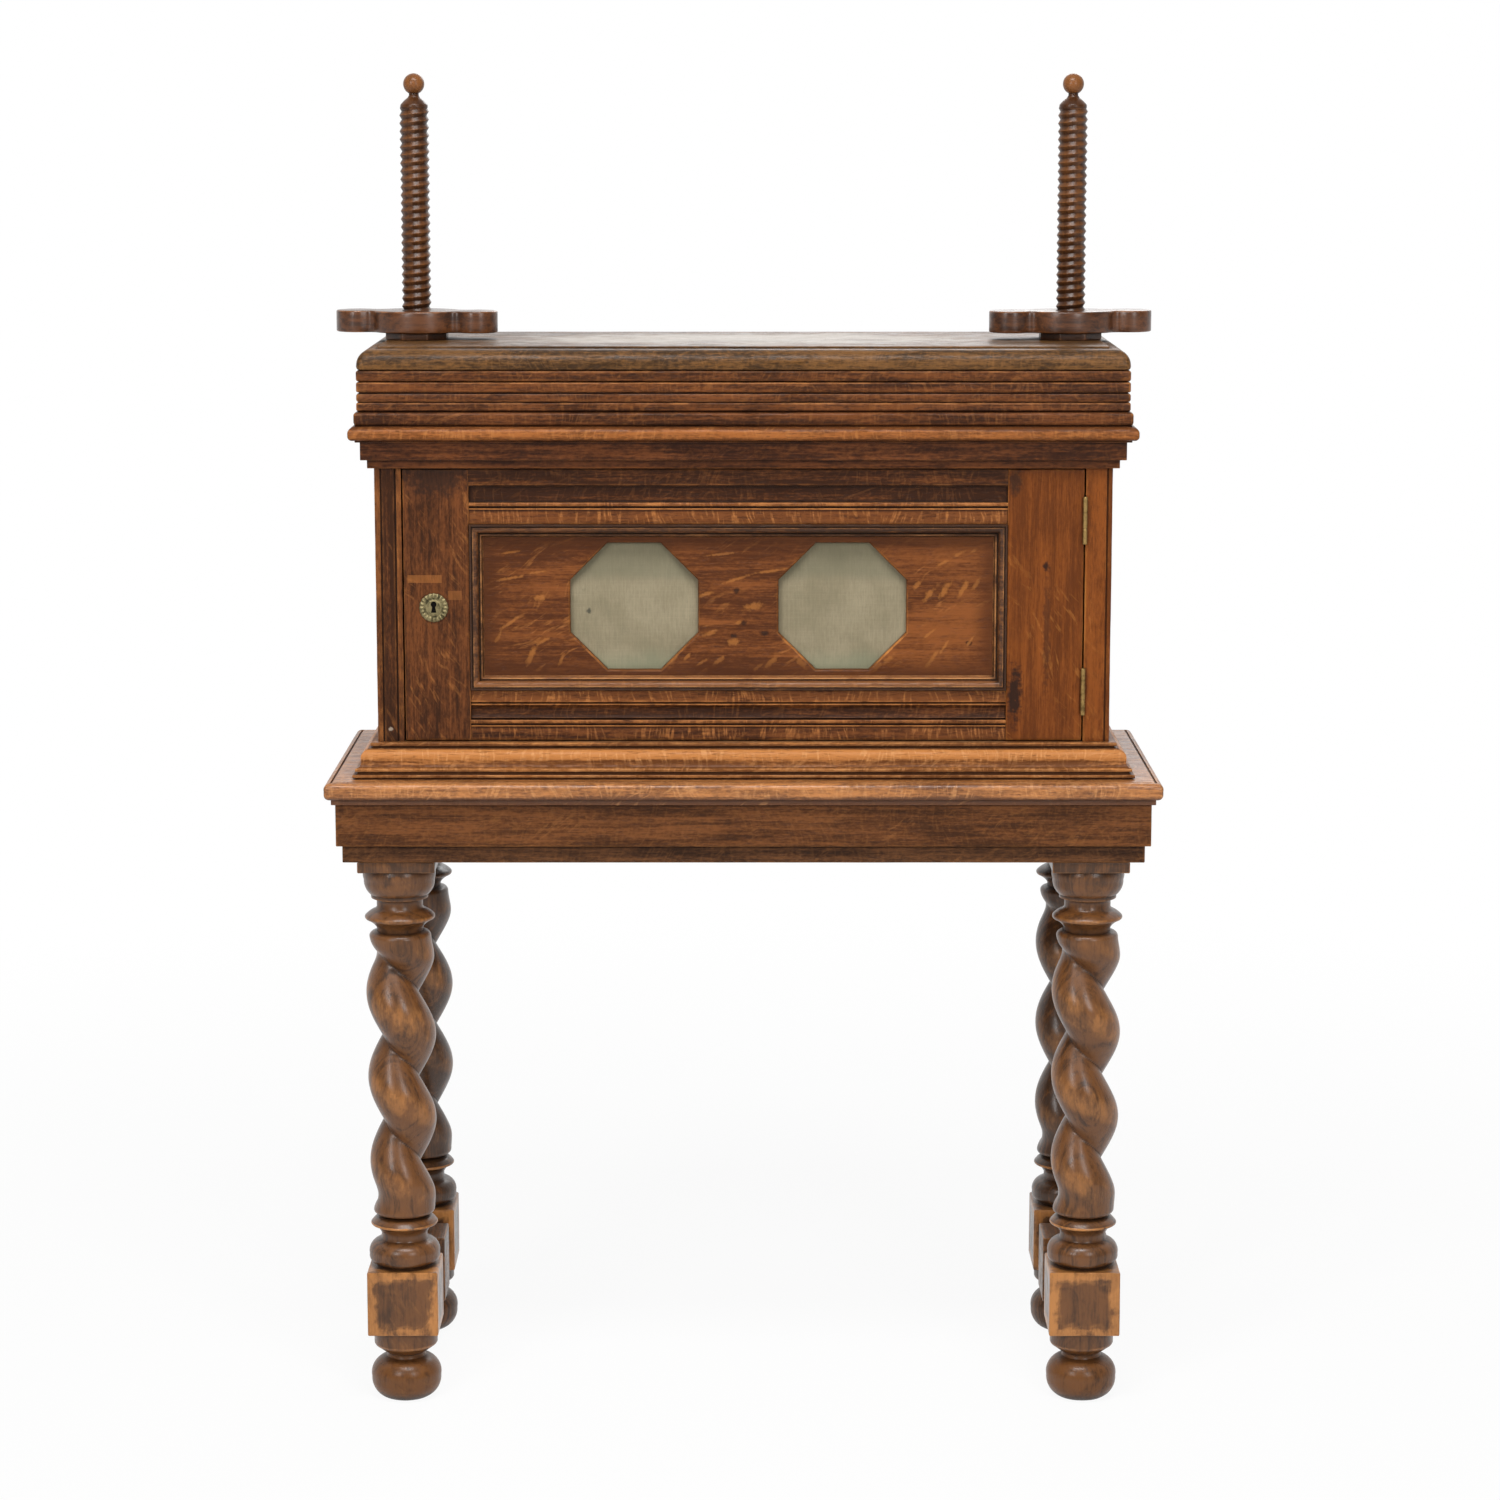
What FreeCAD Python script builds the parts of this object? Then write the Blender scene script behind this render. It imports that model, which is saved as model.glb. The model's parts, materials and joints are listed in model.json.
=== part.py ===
import FreeCAD, Part
import math
import os
from types import SimpleNamespace

import Sketcher

# Oak linen press on a stand: two wooden screws and wing nuts over a stack of boards,
# a one-door cabinet below, and an open stand on twisted legs.
# Frame: origin on the floor under the middle, +Z up, the door faces -Y. Millimetres.

# Driving dimensions: name and value
SIZES = (
    # Stand
    ("stand_width", 880.0),
    ("stand_depth", 360.0),
    ("stand_height", 685.5),
    ("nosing_height", 18.5),
    ("nosing_round", 8.5),
    ("nosing_under_round", 6.0),
    ("bed_mould_height", 5.5),
    ("bed_mould_inset", 7.0),
    ("apron_inset", 11.0),
    ("apron_height", 45.0),
    ("apron_thickness", 22.0),
    ("bead_inset", 6.0),
    ("bead_height", 18.5),
    ("bead_thickness", 16.0),
    # Legs
    ("leg_inset_x", 73.0),
    ("leg_inset_y", 60.0),
    ("post_width", 54.0),
    ("abacus_width", 82.0),
    ("abacus_height", 12.0),
    ("cup_height", 29.0),
    ("cup_top_radius", 38.0),
    ("cup_foot_radius", 30.5),
    ("cup_fillet_height", 4.0),
    ("cup_swell", 1.5),
    ("upper_neck_height", 12.0),
    ("neck_radius", 24.5),
    ("upper_ring_height", 19.0),
    ("upper_ring_radius", 37.2),
    ("twist_neck_height", 5.0),
    ("twist_pitch", 93.0),
    ("twist_radius", 29.25),
    ("twist_throw", 8.65),
    ("twist_groove", 13.5),
    ("twist_shoulder", 21.8),
    ("lower_ring_height", 18.0),
    ("lower_ring_radius", 35.8),
    ("lower_neck_height", 9.0),
    ("torus_height", 27.0),
    ("torus_radius", 38.0),
    ("torus_seat_height", 2.0),
    ("torus_seat_radius", 31.0),
    ("block_width", 76.0),
    ("block_height", 71.0),
    ("pendant_height", 19.0),
    ("pendant_radius", 34.0),
    ("pendant_bulge", 3.5),
    ("foot_height", 58.0),
    ("bun_height", 46.0),
    ("bun_radius", 37.7),
    ("bun_sole_radius", 24.0),
    ("foot_neck_radius", 20.5),
    ("dowel_radius", 10.0),
    ("dowel_length", 30.0),
    # Stretchers
    ("stretcher_block_width", 72.0),
    ("stretcher_block_length", 62.0),
    ("bulb_radius", 33.0),
    ("bulb_neck_radius", 18.0),
    # Cabinet
    ("cabinet_width", 773.0),
    ("cabinet_depth", 257.0),
    ("plinth_height", 36.5),
    ("plinth_projection", 25.5),
    ("plinth_lip_height", 6.0),
    ("plinth_lip_projection", 7.0),
    ("plinth_foot_height", 6.0),
    ("plinth_bead_height", 6.0),
    ("plinth_foot_step", 3.0),
    ("plinth_bead_step", 4.0),
    ("plinth_crown_step", 1.5),
    ("plinth_swell", 0.5),
    ("plinth_hollow", 2.5),
    ("plinth_curve_rise", 3.5),
    ("cabinet_height", 290.0),
    ("board_thickness", 16.0),
    ("side_thickness", 20.0),
    ("back_thickness", 12.0),
    ("stile_width", 28.0),
    ("door_thickness", 22.0),
    ("frieze_height", 30.0),
    ("frieze_step_height", 9.0),
    ("frieze_step_projection", 6.5),
    ("frieze_projection", 13.0),
    ("frieze_fillet_height", 2.0),
    ("frieze_fillet_projection", 18.0),
    ("cornice_thickness", 15.0),
    ("cornice_projection", 25.0),
    ("cornice_round", 6.0),
    # Door
    ("door_gap", 1.5),
    ("door_floor_gap", 1.2),
    ("lock_stile_width", 69.0),
    ("hinge_stile_width", 80.0),
    ("door_top_rail_height", 58.0),
    ("door_bottom_rail_height", 53.5),
    ("rail_edge_height", 18.0),
    ("rail_bottom_edge_height", 13.5),
    ("rail_groove_height", 17.5),
    ("rail_groove_depth", 5.0),
    ("rail_bead_height", 8.0),
    ("rail_flat_recess", 2.0),
    ("panel_recess", 10.0),
    ("panel_thickness", 8.0),
    ("frame_mould_width", 14.5),
    ("frame_mould_step", 6.0),
    ("frame_mould_rise", 2.0),
    ("frame_mould_depth", 4.5),
    ("frame_mould_slope", 4.0),
    ("frame_mould_hollow", 1.2),
    ("window_width", 134.5),
    ("window_spacing", 219.5),
    ("window_bevel", 2.5),
    ("cloth_margin", 10.0),
    ("cloth_thickness", 1.0),
    # Hinges
    ("hinge_length", 50.0),
    ("hinge_top_inset", 53.5),
    ("hinge_bottom_inset", 52.5),
    ("hinge_leaf_thickness", 1.8),
    ("hinge_barrel_radius", 2.6),
    ("hinge_pin_radius", 1.3),
    ("hinge_pin_clearance", 0.05),
    ("hinge_play", 0.3),
    ("hinge_leaf_play", 0.1),
    ("hinge_leaf_width", 18.0),
    # Lock
    ("lock_inset", 31.2),
    ("escutcheon_radius", 15.5),
    ("escutcheon_thickness", 2.5),
    ("escutcheon_bevel", 1.2),
    ("keyhole_radius", 2.4),
    ("keyhole_slot_width", 2.4),
    ("keyhole_slot_height", 7.5),
    ("lock_case_width", 52.0),
    ("lock_case_height", 62.0),
    ("lock_case_depth", 11.0),
    ("bolt_width", 30.0),
    ("bolt_height", 12.0),
    ("bolt_depth", 5.0),
    ("bolt_clearance", 0.3),
    ("bolt_setback", 0.5),
    ("strike_thickness", 1.5),
    ("strike_height", 26.0),
    ("strike_width", 6.0),
    # Press boards
    ("press_projection", 16.0),
    ("bed_lower_height", 14.5),
    ("bed_upper_height", 10.0),
    ("bed_step", 3.0),
    ("lower_board_height", 21.0),
    ("middle_board_height", 12.0),
    ("top_board_height", 24.0),
    ("top_board_round", 18.5),
    ("board_round", 2.5),
    ("groove_width", 1.6),
    ("groove_depth", 2.0),
    # Screws, nuts and washers
    ("screw_spacing", 700.0),
    ("thread_length", 323.0),
    ("thread_pitch", 8.4),
    ("thread_radius", 15.75),
    ("thread_root_radius", 13.6),
    ("thread_root_width", 6.8),
    ("thread_crest_width", 3.2),
    ("thread_runout", 5.0),
    ("thread_sink", 0.6),
    ("thread_clearance", 0.4),
    ("screw_hole_clearance", 1.25),
    ("shank_radius", 12.0),
    ("shank_length", 42.0),
    ("shank_clearance", 0.05),
    ("peg_radius", 4.0),
    ("peg_length", 60.0),
    ("shoulder_height", 7.0),
    ("collar_height", 16.0),
    ("finial_neck_radius", 5.2),
    ("finial_neck_height", 2.0),
    ("finial_radius", 11.2),
    ("washer_width", 65.0),
    ("washer_height", 7.5),
    ("nut_length", 176.0),
    ("nut_height", 23.0),
    ("nut_hub_radius", 40.0),
    ("nut_waist_reach", 46.0),
    ("nut_waist_width", 26.0),
    ("nut_waist_round", 9.0),
    ("nut_round", 2.0),
)

ROLES = {"x": "X_Axis", "y": "Y_Axis", "z": "Z_Axis"}
SIDES = {"left": -1, "right": 1}
ENDS = {"front": -1, "back": 1}
# Turn of each wing nut about its screw at rest, in degrees
NUT_TURN = {"left": -9, "right": 7}
# Directions about a leg's axis, in degrees: the groove at the foot of the twist, and points of its section
TWIST_START = 235
TWIST_FLANK = 60
TWIST_BROW = 125
TWIST_SHOULDER = 150
# Shares of a curved member's height at which it is fullest
LOW_BELLY = 0.45
MID_BELLY = 0.5
BEAD_BELLY = 0.55
TOP_RAIL_BELLY = 0.4
BOTTOM_RAIL_BELLY = 0.6
# Share of the lower board's height at which its groove starts
GROOVE_LEVEL = 0.43

doc = FreeCAD.newDocument("linen_press")


class Size:
    """A length: its formula over the sheet, and its present value."""

    def __init__(self, text, value):
        self.text = text
        self.value = value

    def join(self, other, sign, value):
        return Size(f"({self.text} {sign} {as_size(other).text})", value)

    def __add__(self, other):
        return self.join(other, "+", self.value + as_size(other).value)

    def __sub__(self, other):
        return self.join(other, "-", self.value - as_size(other).value)

    def __mul__(self, other):
        return self.join(other, "*", self.value * as_size(other).value)

    def __truediv__(self, other):
        return self.join(other, "/", self.value / as_size(other).value)

    def __radd__(self, other):
        return as_size(other) + self

    def __rsub__(self, other):
        return as_size(other) - self

    def __rmul__(self, other):
        return as_size(other) * self

    def __neg__(self):
        return -1 * self

    def beside(self, other):
        """The other short side of a right triangle with this long side."""
        value = math.sqrt(self.value**2 - other.value**2)
        return Size(f"sqrt({self.text} ^ 2 - {other.text} ^ 2)", value)


def as_size(length):
    if isinstance(length, Size):
        return length
    return Size(f"({float(length)})", float(length))


def make_sheet():
    sheet = doc.addObject("Spreadsheet::Sheet", "Sizes")
    for row, (name, value) in enumerate(SIZES, start=1):
        sheet.set(f"A{row}", name)
        sheet.set(f"B{row}", str(value))
        sheet.setAlias(f"B{row}", name)
    doc.recompute()
    return SimpleNamespace(**{name: Size(f"Sizes.{name}", sheet.get(name)) for name, _ in SIZES})


S = make_sheet()
nodes = []


def bind(thing, prop, size):
    thing.setExpression(prop, as_size(size).text)


def node(thing, label):
    thing.Label = label
    nodes.append(thing)
    return thing


def vector(x, y, z=0):
    return FreeCAD.Vector(as_size(x).value, as_size(y).value, as_size(z).value)


def span(one, other):
    """Two ends of a length, the lower first."""
    return tuple(sorted((one, other), key=lambda size: size.value))


# Part primitives bound to the sheet


def place(solid, x, y, z):
    for axis, size in zip("xyz", (x, y, z)):
        bind(solid, f"Placement.Base.{axis}", size)


def box(name, x, y, z):
    solid = doc.addObject("Part::Box", name)
    for prop, (low, high) in zip(("Length", "Width", "Height"), (x, y, z)):
        bind(solid, prop, high - low)
    place(solid, x[0], y[0], z[0])
    return solid


def cylinder(name, radius, height, base, turn=(0, 0, 0)):
    solid = doc.addObject("Part::Cylinder", name)
    bind(solid, "Radius", radius)
    bind(solid, "Height", height)
    solid.Placement.Rotation = FreeCAD.Rotation(*turn)
    place(solid, *base)
    return solid


def fuse(name, shapes):
    solid = doc.addObject("Part::MultiFuse", name)
    solid.Shapes = shapes
    solid.Refine = True
    return solid


def cut(name, base, tools):
    solid = doc.addObject("Part::Cut", name)
    solid.Base = base
    solid.Tool = tools[0] if len(tools) == 1 else fuse(name + "_tools", tools)
    return solid


def compound(name, shapes):
    solid = doc.addObject("Part::Compound", name)
    solid.Links = shapes
    return solid


# Sketched bodies


def new_body(name):
    return doc.addObject("PartDesign::Body", name)


def origin(body, role):
    return next(item for item in body.Origin.OriginFeatures if item.Role == role)


def new_sketch(body, plane, offset=0):
    sketch = body.newObject("Sketcher::SketchObject", body.Name + "_sketch")
    sketch.AttachmentSupport = [(origin(body, plane), "")]
    sketch.MapMode = "FlatFace"
    bind(sketch, "AttachmentOffset.Base.z", offset)
    return sketch


def end_at(sketch, edge, corner):
    return min((1, 2), key=lambda end: (sketch.getPoint(edge, end) - corner).Length)


def outline(sketch, points):
    """Closed line: a point is (x, y), or (x, y, via_x, via_y) where an arc leads to it."""
    first = sketch.GeometryCount
    corners = [vector(point[0], point[1]) for point in points]
    for index, point in enumerate(points):
        start, end = corners[index - 1], corners[index]
        if len(point) == 4:
            sketch.addGeometry(Part.Arc(start, vector(point[2], point[3]), end))
        else:
            sketch.addGeometry(Part.LineSegment(start, end))
    count = len(points)
    for index, point in enumerate(points):
        edge, following = first + index, first + (index + 1) % count
        end = end_at(sketch, edge, corners[index])
        start = end_at(sketch, following, corners[index])
        sketch.addConstraint(Sketcher.Constraint("Coincident", edge, end, following, start))
        fix_point(sketch, edge, end, point[:2])
        if len(point) == 4:
            mark = sketch.addGeometry(Part.Point(vector(*point[2:])), True)
            fix_point(sketch, mark, 1, point[2:])
            sketch.addConstraint(Sketcher.Constraint("PointOnObject", mark, 1, edge))


def fix_point(sketch, edge, end, position):
    for kind, size in zip(("DistanceX", "DistanceY"), map(as_size, position)):
        tie = sketch.addConstraint(Sketcher.Constraint(kind, -1, 1, edge, end, size.value))
        sketch.setExpression(f"Constraints[{tie}]", size.text)


def circle(sketch, x, y, radius):
    edge = sketch.addGeometry(Part.Circle(vector(x, y), FreeCAD.Vector(0, 0, 1), radius.value))
    fix_point(sketch, edge, 3, (x, y))
    tie = sketch.addConstraint(Sketcher.Constraint("Radius", edge, radius.value))
    sketch.setExpression(f"Constraints[{tie}]", radius.text)


def rectangle(x, y):
    return [(x[0], y[0]), (x[1], y[0]), (x[1], y[1]), (x[0], y[1])]


def octagon(x, y, half):
    nick = half * math.tan(math.pi / 8)
    return [
        (x + half, y - nick),
        (x + half, y + nick),
        (x + nick, y + half),
        (x - nick, y + half),
        (x - half, y + nick),
        (x - half, y - nick),
        (x - nick, y - half),
        (x + nick, y - half),
    ]


def feature(body, kind, sketch, prop=None, size=None):
    made = body.newObject("PartDesign::" + kind, body.Name + "_" + kind.lower())
    made.Profile = sketch
    if prop:
        bind(made, prop, size)
    return made


def cut_through(body, sketch):
    pocket = feature(body, "Pocket", sketch)
    pocket.Type = "ThroughAll"
    pocket.Midplane = True


def revolve(body, sketch, axis):
    turned = feature(body, "Revolution", sketch)
    turned.ReferenceAxis = (origin(body, ROLES[axis]), [""])
    turned.Angle = 360
    return turned


def dress_edges(body, kind, prop, size, chosen):
    doc.recompute()
    base = body.Tip
    names = [f"Edge{i}" for i, edge in enumerate(base.Shape.Edges, start=1) if chosen(edge)]
    dressed = body.newObject("PartDesign::" + kind, body.Name + "_" + kind.lower())
    dressed.Base = (base, names)
    bind(dressed, prop, size)
    return dressed


def rim_at(height, half_width, half_depth):
    """Chooser of the outer straight edges that lie level at a height."""

    def chosen(edge):
        frame = edge.BoundBox
        level = abs(frame.ZMin - height.value) < 1e-4 and abs(frame.ZMax - height.value) < 1e-4
        at_side = abs(abs(frame.Center.x) - half_width.value) < 1e-4
        at_end = abs(abs(frame.Center.y) - half_depth.value) < 1e-4
        return level and (at_side or at_end)

    return chosen


# Levels and reaches that the sub-parts share
half_width = S.stand_width / 2
half_depth = S.stand_depth / 2
top_under = S.stand_height - S.nosing_height - S.bed_mould_height
apron_foot = top_under - S.apron_height
leg_head = apron_foot - S.bead_height
leg_x = half_width - S.leg_inset_x
leg_y = half_depth - S.leg_inset_y
block_foot = S.foot_height + S.pendant_height
block_head = block_foot + S.block_height
cab_x = S.cabinet_width / 2
cab_y = S.cabinet_depth / 2
cab_floor = S.stand_height + S.plinth_height
cab_head = cab_floor + S.cabinet_height
cornice_under = cab_head + S.frieze_height
cornice_top = cornice_under + S.cornice_thickness
bed_top = cornice_top + S.bed_lower_height + S.bed_upper_height
lower_top = bed_top + S.lower_board_height
middle_top = lower_top + S.middle_board_height
stack_top = middle_top + S.top_board_height
washer_top = stack_top + S.washer_height
thread_top = cornice_top + S.thread_length
press_x = cab_x + S.press_projection
press_y = cab_y + S.press_projection
screw_x = S.screw_spacing / 2
hole_radius = S.thread_radius + S.screw_hole_clearance
opening_x = cab_x - S.stile_width
door_x = opening_x - S.door_gap
door_foot = cab_floor + S.door_floor_gap
door_head = cab_head - S.door_gap
door_front = -cab_y
door_back = door_front + S.door_thickness


# Stand


def make_stand_top():
    body = new_body("stand_top")
    lower = new_sketch(body, "XY_Plane", top_under)
    inner_x = half_width - S.bed_mould_inset
    inner_y = half_depth - S.bed_mould_inset
    outline(lower, rectangle((-inner_x, inner_x), (-inner_y, inner_y)))
    feature(body, "Pad", lower, "Length", S.bed_mould_height)
    nosing_under = top_under + S.bed_mould_height
    upper = new_sketch(body, "XY_Plane", nosing_under)
    outline(upper, rectangle((-half_width, half_width), (-half_depth, half_depth)))
    feature(body, "Pad", upper, "Length", S.nosing_height)
    for level, radius in ((S.stand_height, S.nosing_round), (nosing_under, S.nosing_under_round)):
        dress_edges(body, "Fillet", "Radius", radius, rim_at(level, half_width, half_depth))
    node(body, "stand_top")


def make_frame(label, reach_x, reach_y, thickness, z):
    """Four rails butted round a rectangle, the long ones running through."""
    for end, sign in ENDS.items():
        y = span(sign * reach_y, sign * (reach_y - thickness))
        node(box(f"{label}_{end}", (-reach_x, reach_x), y, z), f"{label}_{end}")
    for side, sign in SIDES.items():
        x = span(sign * reach_x, sign * (reach_x - thickness))
        inner = reach_y - thickness
        node(box(f"{label}_{side}", x, (-inner, inner), z), f"{label}_{side}")


def make_aprons():
    reach_x = half_width - S.apron_inset
    reach_y = half_depth - S.apron_inset
    make_frame("apron_rail", reach_x, reach_y, S.apron_thickness, (apron_foot, top_under))
    inset = S.bead_inset
    make_frame("apron_bead", reach_x - inset, reach_y - inset, S.bead_thickness, (leg_head, apron_foot))


def turned(points):
    """Solid of revolution about Z: a point is (r, z), or (r, z, via_r, via_z) after an arc."""
    edges = []
    for index, point in enumerate(points):
        start = vector(points[index - 1][0], 0, points[index - 1][1])
        end = vector(point[0], 0, point[1])
        if len(point) == 4:
            edges.append(Part.Arc(start, vector(point[2], 0, point[3]), end).toShape())
        else:
            edges.append(Part.LineSegment(start, end).toShape())
    face = Part.Face(Part.Wire(edges))
    return face.revolve(FreeCAD.Vector(), FreeCAD.Vector(0, 0, 1), 360)


def square_block(width, low, high):
    half = width.value / 2
    corner = FreeCAD.Vector(-half, -half, low.value)
    return Part.makeBox(width.value, width.value, high.value - low.value, corner)


def twist_section(level):
    """Round strand set off the axis, with a sharp groove on the inner side."""
    throw, radius = S.twist_throw.value, S.twist_radius.value

    def at(reach, degrees, offset, sign):
        angle = math.radians(degrees)
        return FreeCAD.Vector(offset + reach * math.cos(angle), sign * reach * math.sin(angle), level)

    crest = FreeCAD.Vector(throw + radius, 0, level)
    groove = FreeCAD.Vector(-S.twist_groove.value, 0, level)
    arcs = []
    for sign in (1, -1):
        brow = at(radius, TWIST_BROW, throw, sign)
        arcs.append(Part.Arc(crest, at(radius, TWIST_FLANK, throw, sign), brow).toShape())
        shoulder = at(S.twist_shoulder.value, TWIST_SHOULDER, 0, sign)
        arcs.append(Part.Arc(brow, shoulder, groove).toShape())
    return Part.Wire(Part.__sortEdges__(arcs))


def twist(low, high):
    """The section carried up a straight spine, turned left-handed by a helix, with its groove set round."""
    length = high.value - low.value
    foot, head = FreeCAD.Vector(0, 0, low.value), FreeCAD.Vector(0, 0, high.value)
    spine = Part.Wire([Part.makeLine(foot, head)])
    guide_radius = 2 * S.twist_radius.value
    helix = Part.makeLongHelix(S.twist_pitch.value, length, guide_radius, 0, True)
    helix.translate(foot)
    shell = Part.BRepOffsetAPI.MakePipeShell(spine)
    shell.setAuxiliarySpine(Part.Wire(helix.Edges), True, 0)
    shell.add(twist_section(low.value))
    shell.build()
    shell.makeSolid()
    strand = shell.shape()
    strand.rotate(FreeCAD.Vector(), FreeCAD.Vector(0, 0, 1), TWIST_START - 180)
    return strand


def leg_solid():
    torus_foot = block_head + S.torus_seat_height
    torus_head = torus_foot + S.torus_height
    ring_foot = torus_head + S.lower_neck_height
    ring_head = ring_foot + S.lower_ring_height
    abacus_foot = leg_head - S.abacus_height
    cup_foot = abacus_foot - S.cup_height
    fillet_foot = cup_foot - S.cup_fillet_height
    upper_ring_head = fillet_foot - S.upper_neck_height
    upper_ring_foot = upper_ring_head - S.upper_ring_height
    twist_head = upper_ring_foot - S.twist_neck_height
    neck = S.neck_radius
    lower = turned([
        (0, block_head),
        (S.torus_seat_radius, block_head),
        (S.torus_seat_radius, torus_foot),
        (neck, torus_head, S.torus_radius, torus_foot + S.torus_height * LOW_BELLY),
        (neck, ring_foot),
        (neck, ring_head, S.lower_ring_radius, ring_foot + S.lower_ring_height * LOW_BELLY),
        (0, ring_head),
    ])
    cup_belly = cup_foot + S.cup_height * LOW_BELLY
    upper = turned([
        (0, twist_head),
        (neck, twist_head),
        (neck, upper_ring_foot),
        (neck, upper_ring_head, S.upper_ring_radius, upper_ring_foot + S.upper_ring_height * MID_BELLY),
        (neck, fillet_foot),
        (S.cup_foot_radius, fillet_foot),
        (S.cup_foot_radius, cup_foot),
        (S.cup_top_radius, abacus_foot, S.cup_top_radius - S.cup_swell, cup_belly),
        (0, abacus_foot),
    ])
    pendant_rim = S.pendant_radius - S.pendant_bulge
    pendant = turned([
        (0, S.foot_height),
        (pendant_rim, S.foot_height),
        (pendant_rim, block_foot, S.pendant_radius, S.foot_height + S.pendant_height * MID_BELLY),
        (0, block_foot),
    ])
    solid = lower.multiFuse([
        upper,
        pendant,
        twist(ring_head, twist_head),
        square_block(S.block_width, block_foot, block_head),
        square_block(S.abacus_width, abacus_foot, leg_head),
        square_block(S.post_width, leg_head, top_under),
    ])
    dowel_hole, hole_head = S.dowel_radius + S.shank_clearance, S.foot_height + S.dowel_length
    hole = turned([(0, S.foot_height), (dowel_hole, S.foot_height), (dowel_hole, hole_head), (0, hole_head)])
    return solid.removeSplitter().cut(hole)


def make_legs():
    shape = leg_solid()
    for end, end_sign in ENDS.items():
        for side, side_sign in SIDES.items():
            leg = doc.addObject("Part::Feature", f"leg_{end}_{side}")
            leg.Shape = shape
            place(leg, side_sign * leg_x, end_sign * leg_y, 0)
            node(leg, f"leg_{end}_{side}")


def make_feet():
    for end, end_sign in ENDS.items():
        for side, side_sign in SIDES.items():
            body = new_body(f"bun_foot_{end}_{side}")
            sketch = new_sketch(body, "XZ_Plane")
            dowel_top = S.foot_height + S.dowel_length
            outline(sketch, [
                (0, 0),
                (S.bun_sole_radius, 0),
                (S.foot_neck_radius, S.bun_height, S.bun_radius, S.bun_height * MID_BELLY),
                (S.foot_neck_radius, S.foot_height),
                (S.dowel_radius, S.foot_height),
                (S.dowel_radius, dowel_top),
                (0, dowel_top),
            ])
            revolve(body, sketch, "z")
            place(body, side_sign * leg_x, end_sign * leg_y, 0)
            node(body, f"bun_foot_{end}_{side}")


def make_stretchers():
    reach = leg_y - S.block_width / 2
    block_end = S.stretcher_block_length / 2
    bulb_at = (reach + block_end) / 2
    half = S.stretcher_block_width / 2
    for side, sign in SIDES.items():
        body = new_body(f"stretcher_{side}")
        sketch = new_sketch(body, "XY_Plane")
        outline(sketch, [
            (0, -reach),
            (S.bulb_neck_radius, -reach),
            (S.bulb_neck_radius, -block_end, S.bulb_radius, -bulb_at),
            (S.bulb_neck_radius, block_end),
            (S.bulb_neck_radius, reach, S.bulb_radius, bulb_at),
            (0, reach),
        ])
        revolve(body, sketch, "y")
        square = new_sketch(body, "XY_Plane", -half)
        outline(square, rectangle((-half, half), (-block_end, block_end)))
        feature(body, "Pad", square, "Length", S.stretcher_block_width)
        place(body, sign * leg_x, 0, block_foot + S.block_height / 2)
        node(body, f"stretcher_{side}")


# Cabinet


def across(profile, shifted):
    """The profile with each reach in it, of corners and of arcs, put where it goes."""
    points = []
    for reach, level, *via in profile:
        points.append((shifted(reach), level, *((shifted(via[0]), via[1]) if via else ())))
    return points


def mitred_strip(label, profile, along, reach, far):
    """A moulding with its profile in reach and height, mitred where it meets the front corners.

    The front strip runs along X with a mitre at both ends, and a side strip runs along Y from
    its front mitre to a square end at the back.
    """
    body = new_body(label)
    if along == "front":
        sketch = new_sketch(body, "YZ_Plane")
        outline(sketch, across(profile, lambda out: -cab_y - out))
        strip = feature(body, "Pad", sketch, "Length", 2 * (cab_x + far))
        strip.Midplane = True
        trims = []
        for sign in (-1, 1):
            trims.append([
                (sign * (cab_x - reach), -cab_y + reach),
                (sign * (cab_x + 2 * far), -cab_y + reach),
                (sign * (cab_x + 2 * far), -cab_y - 2 * far),
            ])
    else:
        sign = SIDES[along]
        sketch = new_sketch(body, "XZ_Plane", -cab_y)
        outline(sketch, across(profile, lambda out: sign * (cab_x + out)))
        feature(body, "Pad", sketch, "Length", S.cabinet_depth + far)
        trims = [[
            (sign * (cab_x - reach), -cab_y + reach),
            (sign * (cab_x - reach), -cab_y - 2 * far),
            (sign * (cab_x + 2 * far), -cab_y - 2 * far),
        ]]
    for corner in trims:
        mitre = new_sketch(body, "XY_Plane", 0)
        outline(mitre, corner)
        cut_through(body, mitre)
    node(body, label)


def make_plinth():
    foot = S.stand_height
    foot_head = foot + S.plinth_foot_height
    bead_head = foot_head + S.plinth_bead_height
    lip_foot = cab_floor - S.plinth_lip_height
    reach = S.plinth_projection
    lip = S.plinth_lip_projection
    bead_reach = reach - S.plinth_foot_step
    hollow_reach = bead_reach - S.plinth_bead_step
    crown_reach = lip + S.plinth_crown_step
    bead_belly = foot_head + S.plinth_bead_height * BEAD_BELLY
    waist = (bead_head + lip_foot) / 2
    waist_reach = (hollow_reach + crown_reach) / 2
    profile = [
        (0, foot),
        (reach, foot),
        (reach, foot_head),
        (bead_reach, foot_head),
        (hollow_reach, bead_head, bead_reach + S.plinth_swell, bead_belly),
        (waist_reach, waist, hollow_reach - S.plinth_hollow, bead_head + S.plinth_curve_rise),
        (crown_reach, lip_foot, waist_reach - S.plinth_swell, lip_foot - S.plinth_curve_rise),
        (lip, lip_foot),
        (lip, cab_floor),
        (0, cab_floor),
    ]
    for along in ("front", "left", "right"):
        mitred_strip(f"plinth_moulding_{along}", profile, along, 0, reach)
    back_y = (cab_y - S.side_thickness, cab_y)
    back = box("plinth_rail_back", (-cab_x, cab_x), back_y, (foot, cab_floor - S.board_thickness))
    node(back, "plinth_rail_back")


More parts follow.
